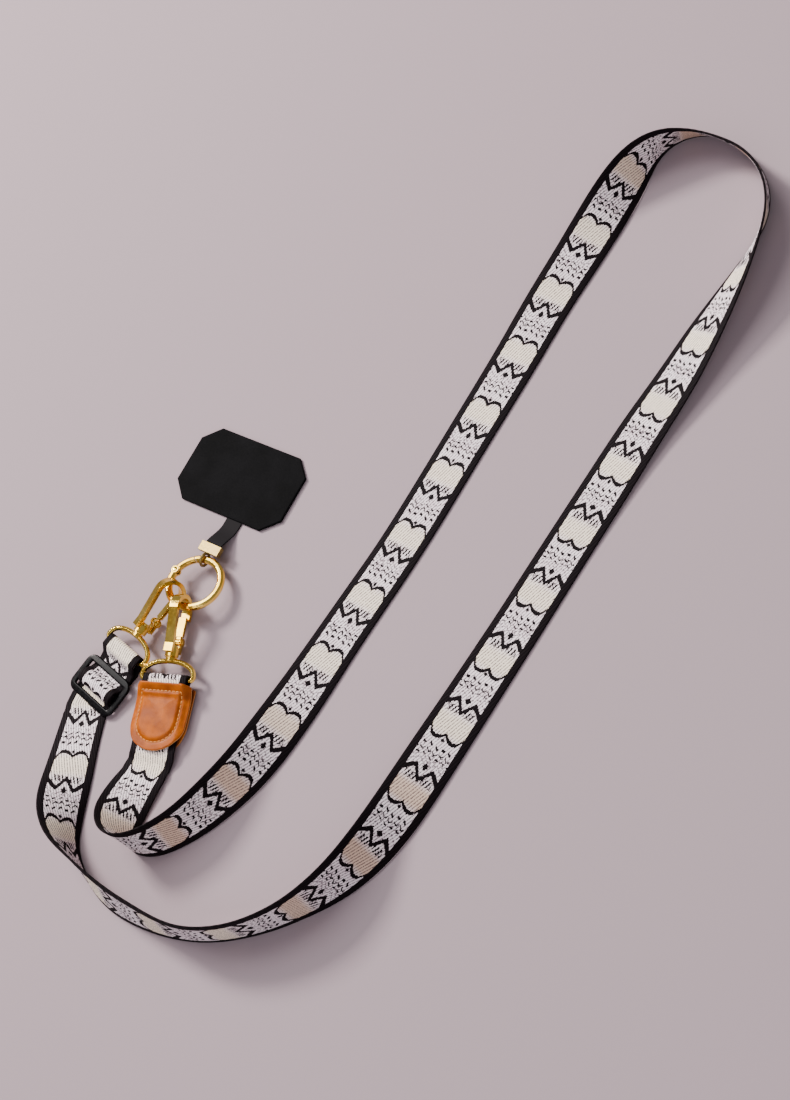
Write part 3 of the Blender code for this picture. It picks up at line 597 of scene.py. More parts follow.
def skin(bm: bmesh.types.BMesh, rings: Sequence[Sequence[bmesh.types.BMVert]]) -> None:
    """Skin a row of rings with as many points each, and close both ends.

    Args:
        bm: The mesh that holds their points.
        rings: The rings in order.
    """
    for near, far in zip(rings[:-1], rings[1:]):
        for i in range(len(near)):
            j = (i + 1) % len(near)
            bm.faces.new((near[i], near[j], far[j], far[i]))
    bm.faces.new(list(reversed(rings[0])))
    bm.faces.new(rings[-1])


def loft_strip(line: np.ndarray, sides: np.ndarray, section: Pairs) -> bmesh.types.BMesh:
    """Loft a strip that lies on the floor, with mm across and along it in a UV map named strip.

    Args:
        line: Its middle line, one row a station.
        sides: The direction of its border at each station.
        section: Its cross-section, as across and through in metres.

    Returns:
        The closed mesh.
    """
    length = distances(line)
    bm = bmesh.new()
    layer = bm.loops.layers.uv.new("strip")
    rings, places = [], {}
    for i, (point, side) in enumerate(zip(line, sides)):
        ahead = unit(line[min(i + 1, len(line) - 1)] - line[max(i - 1, 0)])
        side = unit(side - ahead * side.dot(ahead))
        face = np.cross(ahead, side)
        ring = []
        for u, v in section:
            spot = point + side * u + face * v
            spot[2] = max(spot[2], FLOOR)
            ring.append(bm.verts.new(spot))
            places[ring[-1]] = (u / MM, length[i] / MM)
        rings.append(ring)
    skin(bm, rings)
    for face in bm.faces:
        for loop in face.loops:
            loop[layer].uv = places[loop.vert]
    return bm


def put(name: str, data: bpy.types.ID) -> bpy.types.Object:
    """Put new data in the scene as an object."""
    made = bpy.data.objects.new(name, data)
    bpy.context.scene.collection.objects.link(made)
    return made


def applied(carrier: bpy.types.Object) -> bpy.types.Mesh:
    """The mesh of an object with its curve filled or its modifiers applied."""
    bpy.context.view_layer.update()
    return bpy.data.meshes.new_from_object(carrier.evaluated_get(bpy.context.evaluated_depsgraph_get()))


def piece(name: str, bm: bmesh.types.BMesh, finish: bpy.types.Material, body: str,
          stands_for: Sequence[str] = ()) -> bpy.types.Object:
    """Turn a bmesh into a shown piece that rides on a body.

    Args:
        name: The piece's name.
        bm: Its mesh, which is freed.
        finish: Its material.
        body: The CAD body that carries it.
        stands_for: The CAD nodes that it replaces.

    Returns:
        The new object.
    """
    bmesh.ops.recalc_face_normals(bm, faces=bm.faces)
    for face in bm.faces:
        face.smooth = True
    mesh = bpy.data.meshes.new(name)
    bm.to_mesh(mesh)
    bm.free()
    made = put(name, mesh)
    mesh.materials.append(finish)
    mesh.set_sharp_from_angle(angle=math.radians(38))
    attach(made, body)
    if stands_for:
        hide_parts(*stands_for)
    return made


# The frame's poses, from the same driving sizes as the solids


@dataclass(frozen=True)
class GateRing:
    """The gate ring's place: hooks, eyes and tether are all measured from it."""

    radius: float = 12.5 * MM
    wire: float = 1.8 * MM
    height: float = 7.0 * MM
    tilt: float = math.radians(8.0)
    gate_pivot: float = math.radians(172.0)

    def place(self) -> Matrix:
        """The matrix from the ring's own plane to the row frame."""
        lift = Vector(RING_CENTRE) + Vector((0, 0, self.height))
        return Matrix.Translation(lift) @ Matrix.Rotation(-self.tilt, 4, "X")

    def spot(self, angle: float) -> Vector:
        """A point on the wire's middle line, in the ring's own plane."""
        return Vector((self.radius * math.cos(angle), self.radius * math.sin(angle), 0))

    def point(self, angle: float) -> Vector:
        """The same point in the row frame."""
        return self.place() @ self.spot(angle)


@dataclass(frozen=True)
class HookPose:
    """Where one hook holds the ring and how it lies."""

    seat_deg: float
    heading_deg: float
    rise_deg: float
    roll_deg: float
    slack: float
    aside: float
    seat: float = 35.4 * MM

    def place(self, ring: GateRing, rolled: bool = True) -> Matrix:
        """The matrix of the hook, or of its eye.

        Args:
            ring: The gate ring.
            rolled: Whether the swivel's own turn is included.

        Returns:
            x towards the gate, y along the hook, z through its flat.
        """
        heading, rise, roll = (math.radians(a) for a in (self.heading_deg, self.rise_deg, self.roll_deg))
        level = math.cos(rise)
        along = Vector((math.sin(heading) * level, math.cos(heading) * level, math.sin(rise)))
        side = Vector((math.cos(heading), -math.sin(heading), 0))
        up = side.cross(along)
        turned = side * math.cos(roll) - up * math.sin(roll)
        origin = ring.point(math.radians(self.seat_deg)) + turned * self.aside
        origin -= along * (self.seat - self.slack)
        if rolled:
            side, up = turned, side * math.sin(roll) + up * math.cos(roll)
        return Matrix.Translation(origin) @ Matrix((side, along, up)).transposed().to_4x4()

    def leg(self, ring: GateRing) -> tuple[np.ndarray, np.ndarray, np.ndarray]:
        """The leg of webbing on this hook's eye.

        Args:
            ring: The gate ring.

        Returns:
            The eye bar's centre, the level way out along the leg and the bar's own direction.
        """
        place = self.place(ring, rolled=False)
        away = -(place.to_3x3() @ Vector((0, 1, 0)))
        away.z = 0
        away.normalize()
        return np.array(place.translation), np.array(away), np.array((-away.y, away.x, 0.0))


RING = GateRing()
POSE_A = HookPose(230.0, 12.5, 4.5, 66.0, 3.0 * MM, 0.1 * MM)
POSE_B = HookPose(276.0, -19.0, 5.0, 90.0, 1.2 * MM, 0.0)


@dataclass
class Webbing:
    """The woven strap, laid on its edge and its flat in turn."""

    width: float = 22.0 * MM
    thick: float = 1.0 * MM
    loop_length: float = 290.0 * MM
    loop_width: float = 165.0 * MM
    station: float = 1.5 * MM
    loop_station: float = 4.6 * MM
    relax_steps: int = 160
    eye_wire: float = 1.25 * MM
    slider_from: float = 10.4 * MM
    slider_length: float = 17.4 * MM
    slider_thick: float = 1.6 * MM
    slider_end_bar: float = 2.6 * MM
    slider_mid_bar: float = 3.0 * MM
    leather_thick: float = 1.2 * MM
    leather_from: float = 2.6 * MM
    leather_length: float = 30.0 * MM
    # Shares of the loop's width and length from the ring's centre, and the roll in degrees
    rows: list[tuple[float, float, float]] = field(default_factory=lambda: [
        (-0.112, -0.265, 0), (-0.096, -0.300, 2), (-0.068, -0.328, 8), (-0.036, -0.369, 24),
        (0.010, -0.407, 54), (0.070, -0.438, 82), (0.145, -0.459, 100), (0.248, -0.476, 112),
        (0.380, -0.479, 108), (0.524, -0.466, 93), (0.652, -0.425, 90), (0.755, -0.362, 97),
        (0.821, -0.290, 118), (0.852, -0.210, 142), (0.864, -0.114, 160), (0.876, -0.003, 172),
        (0.894, 0.134, 178), (0.912, 0.272, 180), (0.930, 0.390, 182), (0.948, 0.497, 187),
        (0.967, 0.583, 195), (0.979, 0.659, 206), (0.991, 0.734, 222), (0.997, 0.803, 240),
        (0.988, 0.866, 258), (0.945, 0.919, 273), (0.870, 0.957, 286), (0.785, 0.976, 298),
        (0.700, 0.979, 304), (0.628, 0.955, 290), (0.585, 0.915, 258), (0.562, 0.865, 228),
        (0.545, 0.800, 206), (0.530, 0.720, 193), (0.518, 0.640, 187), (0.512, 0.545, 183),
        (0.500, 0.390, 180), (0.482, 0.166, 180), (0.458, 0.010, 184), (0.450, -0.076, 193),
        (0.441, -0.152, 206), (0.426, -0.221, 220), (0.396, -0.283, 234), (0.357, -0.334, 246),
        (0.303, -0.376, 252), (0.248, -0.400, 258), (0.202, -0.406, 272), (0.172, -0.388, 306),
        (0.152, -0.354, 338), (0.136, -0.318, 354),
    ])

    @property
    def layer(self) -> float:
        """One layer of webbing with its clearance."""
        return self.thick + GAP

    @property
    def turn(self) -> float:
        """The middle of the webbing round an eye bar."""
        return self.eye_wire + GAP + self.thick / 2

    def bars(self) -> tuple[float, float, float]:
        """The adjuster's near, middle and far bars along the leg."""
        near = self.slider_from + self.slider_end_bar / 2
        far = self.slider_from + self.slider_length - self.slider_end_bar / 2
        return near, (near + far) / 2, far

    def bar_heights(self) -> tuple[float, float]:
        """The near and far bars' heights over the layers below them."""
        return 2 * self.layer + self.slider_thick / 2, self.layer + self.slider_thick / 2

    def stand(self, lean: np.ndarray) -> np.ndarray:
        """The height at which the strip clears the floor, from how far its border leans, 0 to 1."""
        return self.width / 2 * lean + self.thick / 2 * np.sqrt(np.maximum(1 - lean ** 2, 0))

    def adjuster_leg(self, bar_z: float) -> Pairs:
        """Tail round the middle bar, back to the eye, round it and out through the adjuster.

        Args:
            bar_z: The eye bar's height.

        Returns:
            Distance from the eye bar and height, in order.
        """
        low, turn, layer = self.thick / 2, self.turn, self.layer
        near, mid, far = self.bars()
        near_z, far_z = self.bar_heights()
        mid_z = (near_z + far_z) / 2
        wrap = self.slider_thick / 2 + GAP + self.thick / 2
        end = mid + self.slider_mid_bar / 2 - self.slider_thick / 4
        mid_bar, end_bar = self.slider_mid_bar, self.slider_end_bar
        route = [(mid - 0.6 * MM, mid_z + wrap)] + arc((end, mid_z), wrap, 90, -90, 9)
        route += [(mid - 1.4 * MM, mid_z - wrap * 0.97), (near, low * 1.1), (near * 0.5, low)]
        lowest = bar_z - turn
        route += [(turn * 1.2, (low + lowest) / 2 if lowest > low else low)]
        route += arc((0, bar_z), turn, -90, -270, 11)
        over = mid_z + wrap + layer
        route += [(near * 0.3, bar_z + turn * 0.9), (near * 0.54, low + layer * 2.0)]
        route += [(near * 0.78, low + layer), (near + end_bar * 0.65, low + layer)]
        route += [(mid - mid_bar * 1.24, mid_z - wrap * 0.1)]
        route += [(mid - mid_bar * 0.87, over * 0.69), (mid - mid_bar * 0.57, over * 0.89)]
        route += [(mid - mid_bar * 0.23, over), (mid + mid_bar * 0.3, over)]
        route += [(end + wrap * 0.85, over * 0.93), (end + wrap + layer * 0.7, mid_z + wrap * 0.85)]
        route += [(end + wrap + layer * 1.04, mid_z), (far - end_bar * 1.24, low + layer * 0.85)]
        route += [(far - end_bar * 0.82, low * 1.15), (far - end_bar * 0.45, low), (far + end_bar, low)]
        return route

    def tab_leg(self, bar_z: float) -> tuple[Pairs, Pairs]:
        """Through the leather to the eye, round it and back under.

        Args:
            bar_z: The eye bar's height.

        Returns:
            The upper run, and then the turn with the lower run.
        """
        turn, layer = self.turn, self.layer
        under = self.leather_thick + GAP + self.thick / 2
        end = self.leather_from + self.leather_length
        upper = [(end + 6 * MM, self.thick / 2 + layer * 0.75), (end, under + layer * 0.9)]
        upper += [(end * 0.75, under + layer), (end * 0.42, under + layer)]
        upper += [(end * 0.26, under + layer * 1.4), (turn * 1.6, bar_z + turn * 0.92)]
        lower = arc((0, bar_z), turn, 90, 270, 11)
        lower += [(turn * 1.6, bar_z - turn), (end * 0.26, under), (end * 0.5, under), (end * 0.8, under)]
        return upper, lower

    def leg_line(self, pose: HookPose, route: Pairs) -> np.ndarray:
        """A leg's route of distances and heights, as points of the row frame."""
        origin, away, _ = pose.leg(RING)
        return np.array([origin * (1, 1, 0) + away * u + (0, 0, z + FLOOR) for u, z in route])

    def loop_line(self) -> tuple[np.ndarray, np.ndarray]:
        """The laid loop.

        Returns:
            Its middle line, and the direction of its inner border at each point.
        """
        table = np.array(self.rows, float)
        flat = table[:, :2] * (self.loop_width, self.loop_length)
        knots = distances(flat)
        where = np.linspace(0, knots[-1], int(knots[-1] / self.loop_station))
        flat = natural_spline(flat, knots, where)
        roll = np.radians(np.interp(where, knots, table[:, 2]))
        for _ in range(4):
            roll[1:-1] = smooth_rows(roll)
        need = self.stand(np.abs(np.sin(roll)))
        height = need.copy()
        for _ in range(4):
            height[1:-1] = smooth_rows(height)
            height = np.maximum(height, need)
        middle = np.column_stack([flat, height])
        along = unit(np.gradient(middle, axis=0))
        level = unit(np.column_stack([along[:, 1], -along[:, 0], np.zeros(len(along))]))
        border = np.cos(roll)[:, None] * level + np.sin(roll)[:, None] * np.cross(level, along)
        return middle + RING_CENTRE, border

    def stations(self) -> tuple[np.ndarray, np.ndarray]:
        """Every station from tail to tail.

        Returns:
            The middle line and the border's direction, finely spaced.
        """
        bar_a, _, side_a = POSE_A.leg(RING)
        bar_b, _, side_b = POSE_B.leg(RING)
        head = self.leg_line(POSE_A, self.adjuster_leg(bar_a[2] - FLOOR))
        upper, lower = self.tab_leg(bar_b[2] - FLOOR)
        foot = self.leg_line(POSE_B, upper + lower)
        middle, border = self.loop_line()
        line = np.vstack([head, middle, foot])
        borders = np.vstack([np.tile(-side_a, (len(head), 1)), border, np.tile(side_b, (len(foot), 1))])
        knots = distances(line)
        where = np.unique(np.concatenate([np.arange(0, knots[-1], self.station), knots]))
        where = where[np.concatenate([[True], np.diff(where) > 0.05 * MM])]
        fine = read(where, knots, line)
        # The curve through the loop starts and ends a little inside it, clear of the stiff legs
        first, last = len(head) + 2, len(head) + len(middle) - 3
        inside = (where > knots[first]) & (where < knots[last])
        fine[inside] = natural_spline(line[first:last + 1], knots[first:last + 1], where[inside])
        sides = read(where, knots, borders)
        self.relax(fine, sides, where, (knots[len(head)], knots[len(head) + len(middle) - 1]))
        return fine, sides

    def relax(self, line: np.ndarray, sides: np.ndarray, where: np.ndarray, joins: Sequence[float]) -> None:
        """Let the webbing run smoothly where a leg meets the loop, as stiff woven tape does.

        Args:
            line: The middle line, changed in place.
            sides: The border's directions, changed in place.
            where: The distance of each point.
            joins: The distances of the two joins.
        """
        # Under the leather only the course is eased, because the layers keep their heights there
        for values, under_leather in ((line[:, :2], 16.0), (line[:, 2:], 5.5), (sides, 5.5)):
            reach = 0.0
            for join, before, after in ((joins[0], 3.0, 55.0), (joins[1], 50.0, under_leather)):
                gap = where - join
                share = np.where(gap < 0, 1 + gap / (before * MM), 1 - gap / (after * MM))
                reach = reach + np.clip(share * 1.6, 0, 1)
            reach = reach[1:-1, None]
            for _ in range(self.relax_steps):
                values[1:-1] += (smooth_rows(values) - values[1:-1]) * reach
        ahead = unit(np.gradient(line, axis=0))
        square = unit(sides - ahead * np.sum(sides * ahead, axis=1)[:, None])
        need = self.stand(np.abs(square[:, 2])) + FLOOR
        near = np.concatenate([[False], reach[:, 0] > 0, [False]])
        line[near, 2] = np.maximum(line[near, 2], need[near])

    def section(self) -> Pairs:
        """The cross-section: flat faces and a rolled selvedge, as across and through in metres."""
        half, flat = self.width / 2, self.thick / 2
        columns = [half * s for s in np.linspace(0.955, -0.955, 9)]
        left, right = arc((flat - half, 0), flat, 125, 235, 5), arc((half - flat, 0), flat, -55, 55, 5)
        return [(u, flat) for u in columns] + left + [(u, -flat) for u in reversed(columns)] + right

    def build(self, finish: bpy.types.Material) -> bpy.types.Object:
        """Loft the strap with its weave laid along it.

        Args:
            finish: The woven band.

        Returns:
            The strap.
        """
        line, sides = self.stations()
        bm = loft_strip(line, sides, self.section())
        made = piece("webbing_woven", bm, finish, BODY, ["webbing"])
        return made


@dataclass
class LeatherTab:
    """The D-shaped leather tab: a back layer, a padded front and a line of stitches."""

    webbing: Webbing
    width: float = 27.0 * MM
    length: float = 30.0 * MM
    corner: float = 1.0 * MM
    turned_edge: float = 0.32 * MM
    pad: float = 0.9 * MM
    crown: float = 0.6 * MM
    groove: float = 0.22 * MM
    groove_half: float = 0.5 * MM
    stitch_inset: float = 3.5 * MM
    stitch: float = 1.35 * MM
    stitch_gap: float = 0.55 * MM
    thread: float = 0.24 * MM
    # Beside the webbing the front comes down and the back lifts, from this place on and over this width
    pinch_from: float = 10.2 * MM
    pinch_over: float = 3.2 * MM
    back_lift: float = 1.3 * MM
    # Share of the drop beside the webbing that the stiff border really takes
    droop: float = 0.45
    # Insets of the rings that each layer is skinned over, in mm
    insets: tuple[float, ...] = (
        0.0, 0.12, 0.35, 0.8, 1.5, 2.2, 2.8, 3.1, 3.4, 3.7, 4.0, 4.4, 4.9, 5.5, 6.4, 7.6, 9.0, 10.6, 12.4)

    def outline(self, count: int) -> np.ndarray:
        """The D's outline, as across and along from its top edge.

        Args:
            count: How many points.

        Returns:
            Even points, one row each.
        """
        half, corner = self.width / 2, self.corner
        depth = self.width * 0.46
        points = arc((half - corner, corner), corner, -90, 0, 5)
        points += [(half * x, self.length - depth + depth * y) for x, y in arc((0, 0), 1, 0, 180, 30)]
        points += arc((corner - half, corner), corner, 180, 270, 5)
        line = np.array(points + points[:1])
        knots = distances(line)
        return read(np.linspace(0, knots[-1], count, endpoint=False), knots, line)

    def inner(self, inset: float, count: int = 112) -> np.ndarray:
        """The outline drawn in by an even inset in metres.

        Args:
            inset: How far.
            count: How many points.

        Returns:
            The points.
        """
        centre = np.array((0, self.length * 0.47))
        shrink = np.array((1 - inset / (self.width / 2), 1 - inset / (self.length * 0.5)))
        return centre + (self.outline(count) - centre) * shrink

    def base(self, across: float, along: float) -> float:
        """The height of the front layer's underside.

        Args:
            across: From the middle line.
            along: From the tab's top edge.

        Returns:
            Height over the floor.
        """
        strap = self.webbing
        route = np.array(sorted(strap.tab_leg(POSE_B.leg(RING)[0][2] - FLOOR)[0]))
        lower = strap.leather_thick + GAP
        run = np.interp(strap.leather_from + along, route[:, 0], route[:, 1])
        upper = max(run, lower + strap.thick / 2 + strap.layer) + strap.thick / 2 + 2 * GAP
        return upper + (lower - upper) * self.pinch(across) * self.droop

    def pinch(self, across: float) -> float:
        """How far the border has come in beside the webbing, 0 to 1."""
        return smoothstep((abs(across) - self.pinch_from) / self.pinch_over)

    def back(self, across: float) -> float:
        """The height of the back layer's underside, whose borders lift to the front's."""
        return self.back_lift * self.pinch(across)

    def world(self, across: float, along: float, height: float) -> Vector:
        """A point of the tab in the row frame."""
        origin, away, side = POSE_B.leg(RING)
        place = origin * (1, 1, 0) + away * (self.webbing.leather_from + along) + side * across
        return Vector(place + np.array((0, 0, height + FLOOR)))

    def rise(self, inset: float) -> float:
        """How far the padded face stands over the plain leather at an inset from the cut edge."""
        groove = -self.groove * math.exp(-((inset - self.stitch_inset) / self.groove_half) ** 2)
        swell = self.pad * smoothstep((inset - self.stitch_inset + 0.3 * MM) / (2.1 * MM))
        return groove + swell + self.crown * smoothstep((inset - 4.5 * MM) / (8 * MM))

    def build_layer(self, name: str, node: str, finishes: Sequence[bpy.types.Material], bottom: Callable,
                    top: Callable) -> None:
        """One layer of leather with softly turned edges.

        Args:
            name: The piece's name.
            node: The CAD node it stands for.
            finishes: Grain side and cut edge.
            bottom: Height of the flesh side, from across and along.
            top: Height of the grain side, from across, along and inset.
        """
        edge = self.turned_edge
        bm = bmesh.new()
        grain, flesh = [], []
        for inset in [s * MM for s in self.insets]:
            drop = edge * (1 - math.sqrt(max(1 - (1 - min(inset / edge, 1.0)) ** 2, 0.0)))
            spots = [self.world(x, y, top(x, y, inset) - drop) for x, y in self.inner(inset)]
            grain.append([bm.verts.new(spot) for spot in spots])
        for inset in [s * MM for s in reversed(self.insets[::3])]:
            drop = edge * 0.5 * (1 - min(inset / edge, 1.0))
            spots = [self.world(x, y, bottom(x, y) + drop) for x, y in self.inner(inset)]
            flesh.append([bm.verts.new(spot) for spot in spots])
        skin(bm, flesh + grain)
        cut = set(flesh[-1] + grain[0])
        for face in bm.faces:
            face.material_index = int(cut.issuperset(face.verts))
        piece(name, bm, finishes[0], BODY, [node]).data.materials.append(finishes[1])

    def build_stitches(self, finish: bpy.types.Material) -> None:
        """A running line of stitches that sinks into the leather at each end.

        Args:
            finish: The thread.
        """
        path = self.inner(self.stitch_inset, 360)
        line = np.vstack([path, path[:1]])
        knots = distances(line)
        count = round(knots[-1] / (self.stitch + self.stitch_gap))
        face = self.webbing.leather_thick + self.rise(self.stitch_inset)
        bm = bmesh.new()
        for k in range(count):
            points = []
            for share in np.linspace(0, 1, 6):
                x, y = read([knots[-1] * k / count + self.stitch * share], knots, line)[0]
                arch = 0.2 * MM * math.sin(math.pi * share) - 0.04 * MM
                points.append(self.world(x, y, self.base(x, y) + face + arch))
            self.add_thread(bm, points)
        piece("leather_stitches", bm, finish, BODY)

    def add_thread(self, bm: bmesh.types.BMesh, points: Sequence[Vector]) -> None:
        """A short round thread through points, thinner at both ends.

        Args:
            bm: The mesh to add to.
            points: Its middle line.
        """
        rings = []
        for i, point in enumerate(points):
            ahead = (points[min(i + 1, len(points) - 1)] - points[max(i - 1, 0)]).normalized()
            side = ahead.cross(Vector((0, 0, 1))).normalized()
            up = side.cross(ahead)
            size = self.thread * (0.55 if i in (0, len(points) - 1) else 1.0)
            round_it = arc((0, 0), size, 0, 315, 8)
            rings.append([bm.verts.new(point + side * u + up * v) for u, v in round_it])
        skin(bm, rings)

    def build(self, grain: bpy.types.Material, cut: bpy.types.Material, thread: bpy.types.Material) -> None:
        """Build both layers and the stitches.

        Args:
            grain: The leather's face.
            cut: Its cut edge.
            thread: The stitching.
        """
        thick, finishes = self.webbing.leather_thick, (grain, cut)
        self.build_layer("leather_front_padded", "leather_front", finishes, self.base,
                         lambda x, y, inset: self.base(x, y) + thick + self.rise(inset))
        self.build_layer("leather_back_layer", "leather_back", finishes, lambda x, y: self.back(x),
                         lambda x, y, inset: self.back(x) + thick)
        self.build_stitches(thread)


@dataclass
class Adjuster:
    """The moulded tri-glide: round-edged frame and middle bar."""

    webbing: Webbing
    room: float = 0.6 * MM
    rail: float = 2.3 * MM
    corner: float = 4.6 * MM
    window_corner: float = 0.5 * MM
    round_edge: float = 0.72 * MM
    # The moulding's soft outer rim stands a little outside the plain solid
    swell: float = 0.9 * MM

    def matrix(self) -> Matrix:
        """Where the frame lies: tipped over the webbing's layers."""
        origin, away, side = POSE_A.leg(RING)
        near, _, far = self.webbing.bars()
        near_z, far_z = self.webbing.bar_heights()
        slope = Matrix.Rotation(math.atan2(far_z - near_z, far - near), 4, "X")
        tip = Matrix.Translation((0, near, near_z)) @ slope @ Matrix.Translation((0, -near, 0))
        turn = Matrix((side * -1, away, (0, 0, 1))).transposed().to_4x4()
        return Matrix.Translation((origin[0], origin[1], FLOOR)) @ turn @ tip

    def outline(self, low: Sequence[float], high: Sequence[float], radius: float, steps: int) -> list:
        """A rectangle with round corners.

        Args:
            low: Lower corner.
            high: Upper corner.
            radius: Corner radius.
            steps: Points in each corner.

        Returns:
            The outline's points.
        """
        left, right, bottom, top = low[0] + radius, high[0] - radius, low[1] + radius, high[1] - radius
        spots = (((right, bottom), -90), ((right, top), 0), ((left, top), 90), ((left, bottom), 180))
        return [point for centre, start in spots for point in arc(centre, radius, start, start + 90, steps)]

    def build(self, finish: bpy.types.Material) -> None:
        """Mould the adjuster.

        Args:
            finish: The plastic.
        """
        strap, edge = self.webbing, self.round_edge
        near, mid, far = strap.bars()
        inner = strap.width / 2 + self.room
        outer = inner + self.rail + self.swell
        start, end = strap.slider_from - self.swell, strap.slider_from + strap.slider_length + self.swell
        corners = (-outer + edge, start + edge), (outer - edge, end - edge)
        loops = [self.outline(*corners, self.corner - edge, 7)]
        for low, high in ((near + strap.slider_end_bar / 2, mid - strap.slider_mid_bar / 2),
                          (mid + strap.slider_mid_bar / 2, far - strap.slider_end_bar / 2)):
            corners = (-inner - edge, low - edge), (inner + edge, high + edge)
            loops.append(self.outline(*corners, self.window_corner + edge, 5))
        data = bpy.data.curves.new("adjuster_outline", "CURVE")
        data.dimensions, data.fill_mode = "2D", "BOTH"
        data.extrude, data.bevel_depth, data.bevel_resolution = strap.slider_thick / 2 - edge, edge, 4
        for outline in loops:
            spline = data.splines.new("POLY")
            spline.points.add(len(outline) - 1)
            for point, (x, y) in zip(spline.points, outline):
                point.co = (x, y, 0, 1)
            spline.use_cyclic_u = True
        carrier = put("adjuster_outline", data)
        bm = bmesh.new()
        bm.from_mesh(applied(carrier))
        bpy.data.objects.remove(carrier, do_unlink=True)
        bmesh.ops.remove_doubles(bm, verts=bm.verts, dist=0.01 * MM)
        bm.transform(self.matrix())
        piece("adjuster_moulded", bm, finish, BODY, ["slider"])


@dataclass
class Hardware:
    """Ring, hooks, gates and eyes: plated solids kept from the frame, with their rivets."""

    kept: tuple[str, ...] = (
        "eye_a", "eye_b", "hook_a", "hook_b", "hook_gate_a", "hook_gate_b", "ring", "ring_gate")
    hook_depth: float = 4.2 * MM
    base_half: float = 3.7 * MM
    pivot_height: float = 18.2 * MM
    rivet: float = 1.15 * MM
    rivet_rise: float = 0.28 * MM
    # The domed head: share of its radius and share of its rise
    dome: tuple[tuple[float, float], ...] = ((1.0, -0.12), (1.0, 0.35), (0.82, 0.75), (0.45, 0.96))

    def dress(self, gold: bpy.types.Material, clamp: bpy.types.Material) -> None:
        """Plate the kept solids.

        Args:
            gold: The plating.
            clamp: The tether clamp's metal.
        """
        for name in self.kept + ("tether_clamp",):
            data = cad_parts[name].data
            data.materials.clear()
            data.materials.append(clamp if name == "tether_clamp" else gold)
            data.shade_smooth()
            data.set_sharp_from_angle(angle=math.radians(42))

    def add_rivet(self, name: str, gold: bpy.types.Material, body: str, pivot: Matrix, reach: float) -> None:
        """A low domed rivet head on each side of a pivot.

        Args:
            name: The piece's name.
            gold: The plating.
            body: The body that carries it.
            pivot: The pivot, z along its pin.
            reach: Height of the side that a head sits on.
        """
        bm = bmesh.new()
        for facing in Face:
            rings = []
            for share, rise in self.dome:
                z = facing.value * (reach + self.rivet_rise * rise)
                round_it = arc((0, 0), self.rivet * share, 0, 342, 20)
                rings.append([bm.verts.new(pivot @ Vector((x, y, z))) for x, y in round_it])
            skin(bm, rings)
        piece(name, bm, gold, body)

    def build(self, gold: bpy.types.Material) -> None:
        """Set the rivets in the gates' pivots."""
        for key, pose in (("a", POSE_A), ("b", POSE_B)):
            pivot = pose.place(RING) @ Matrix.Translation((self.base_half, self.pivot_height, 0))
            self.add_rivet(f"hook_{key}_rivets", gold, f"hook_{key}", pivot, self.hook_depth * 0.53)
        pivot = RING.place() @ Matrix.Translation(RING.spot(RING.gate_pivot))
        self.add_rivet("ring_rivets", gold, BODY, pivot, RING.wire)


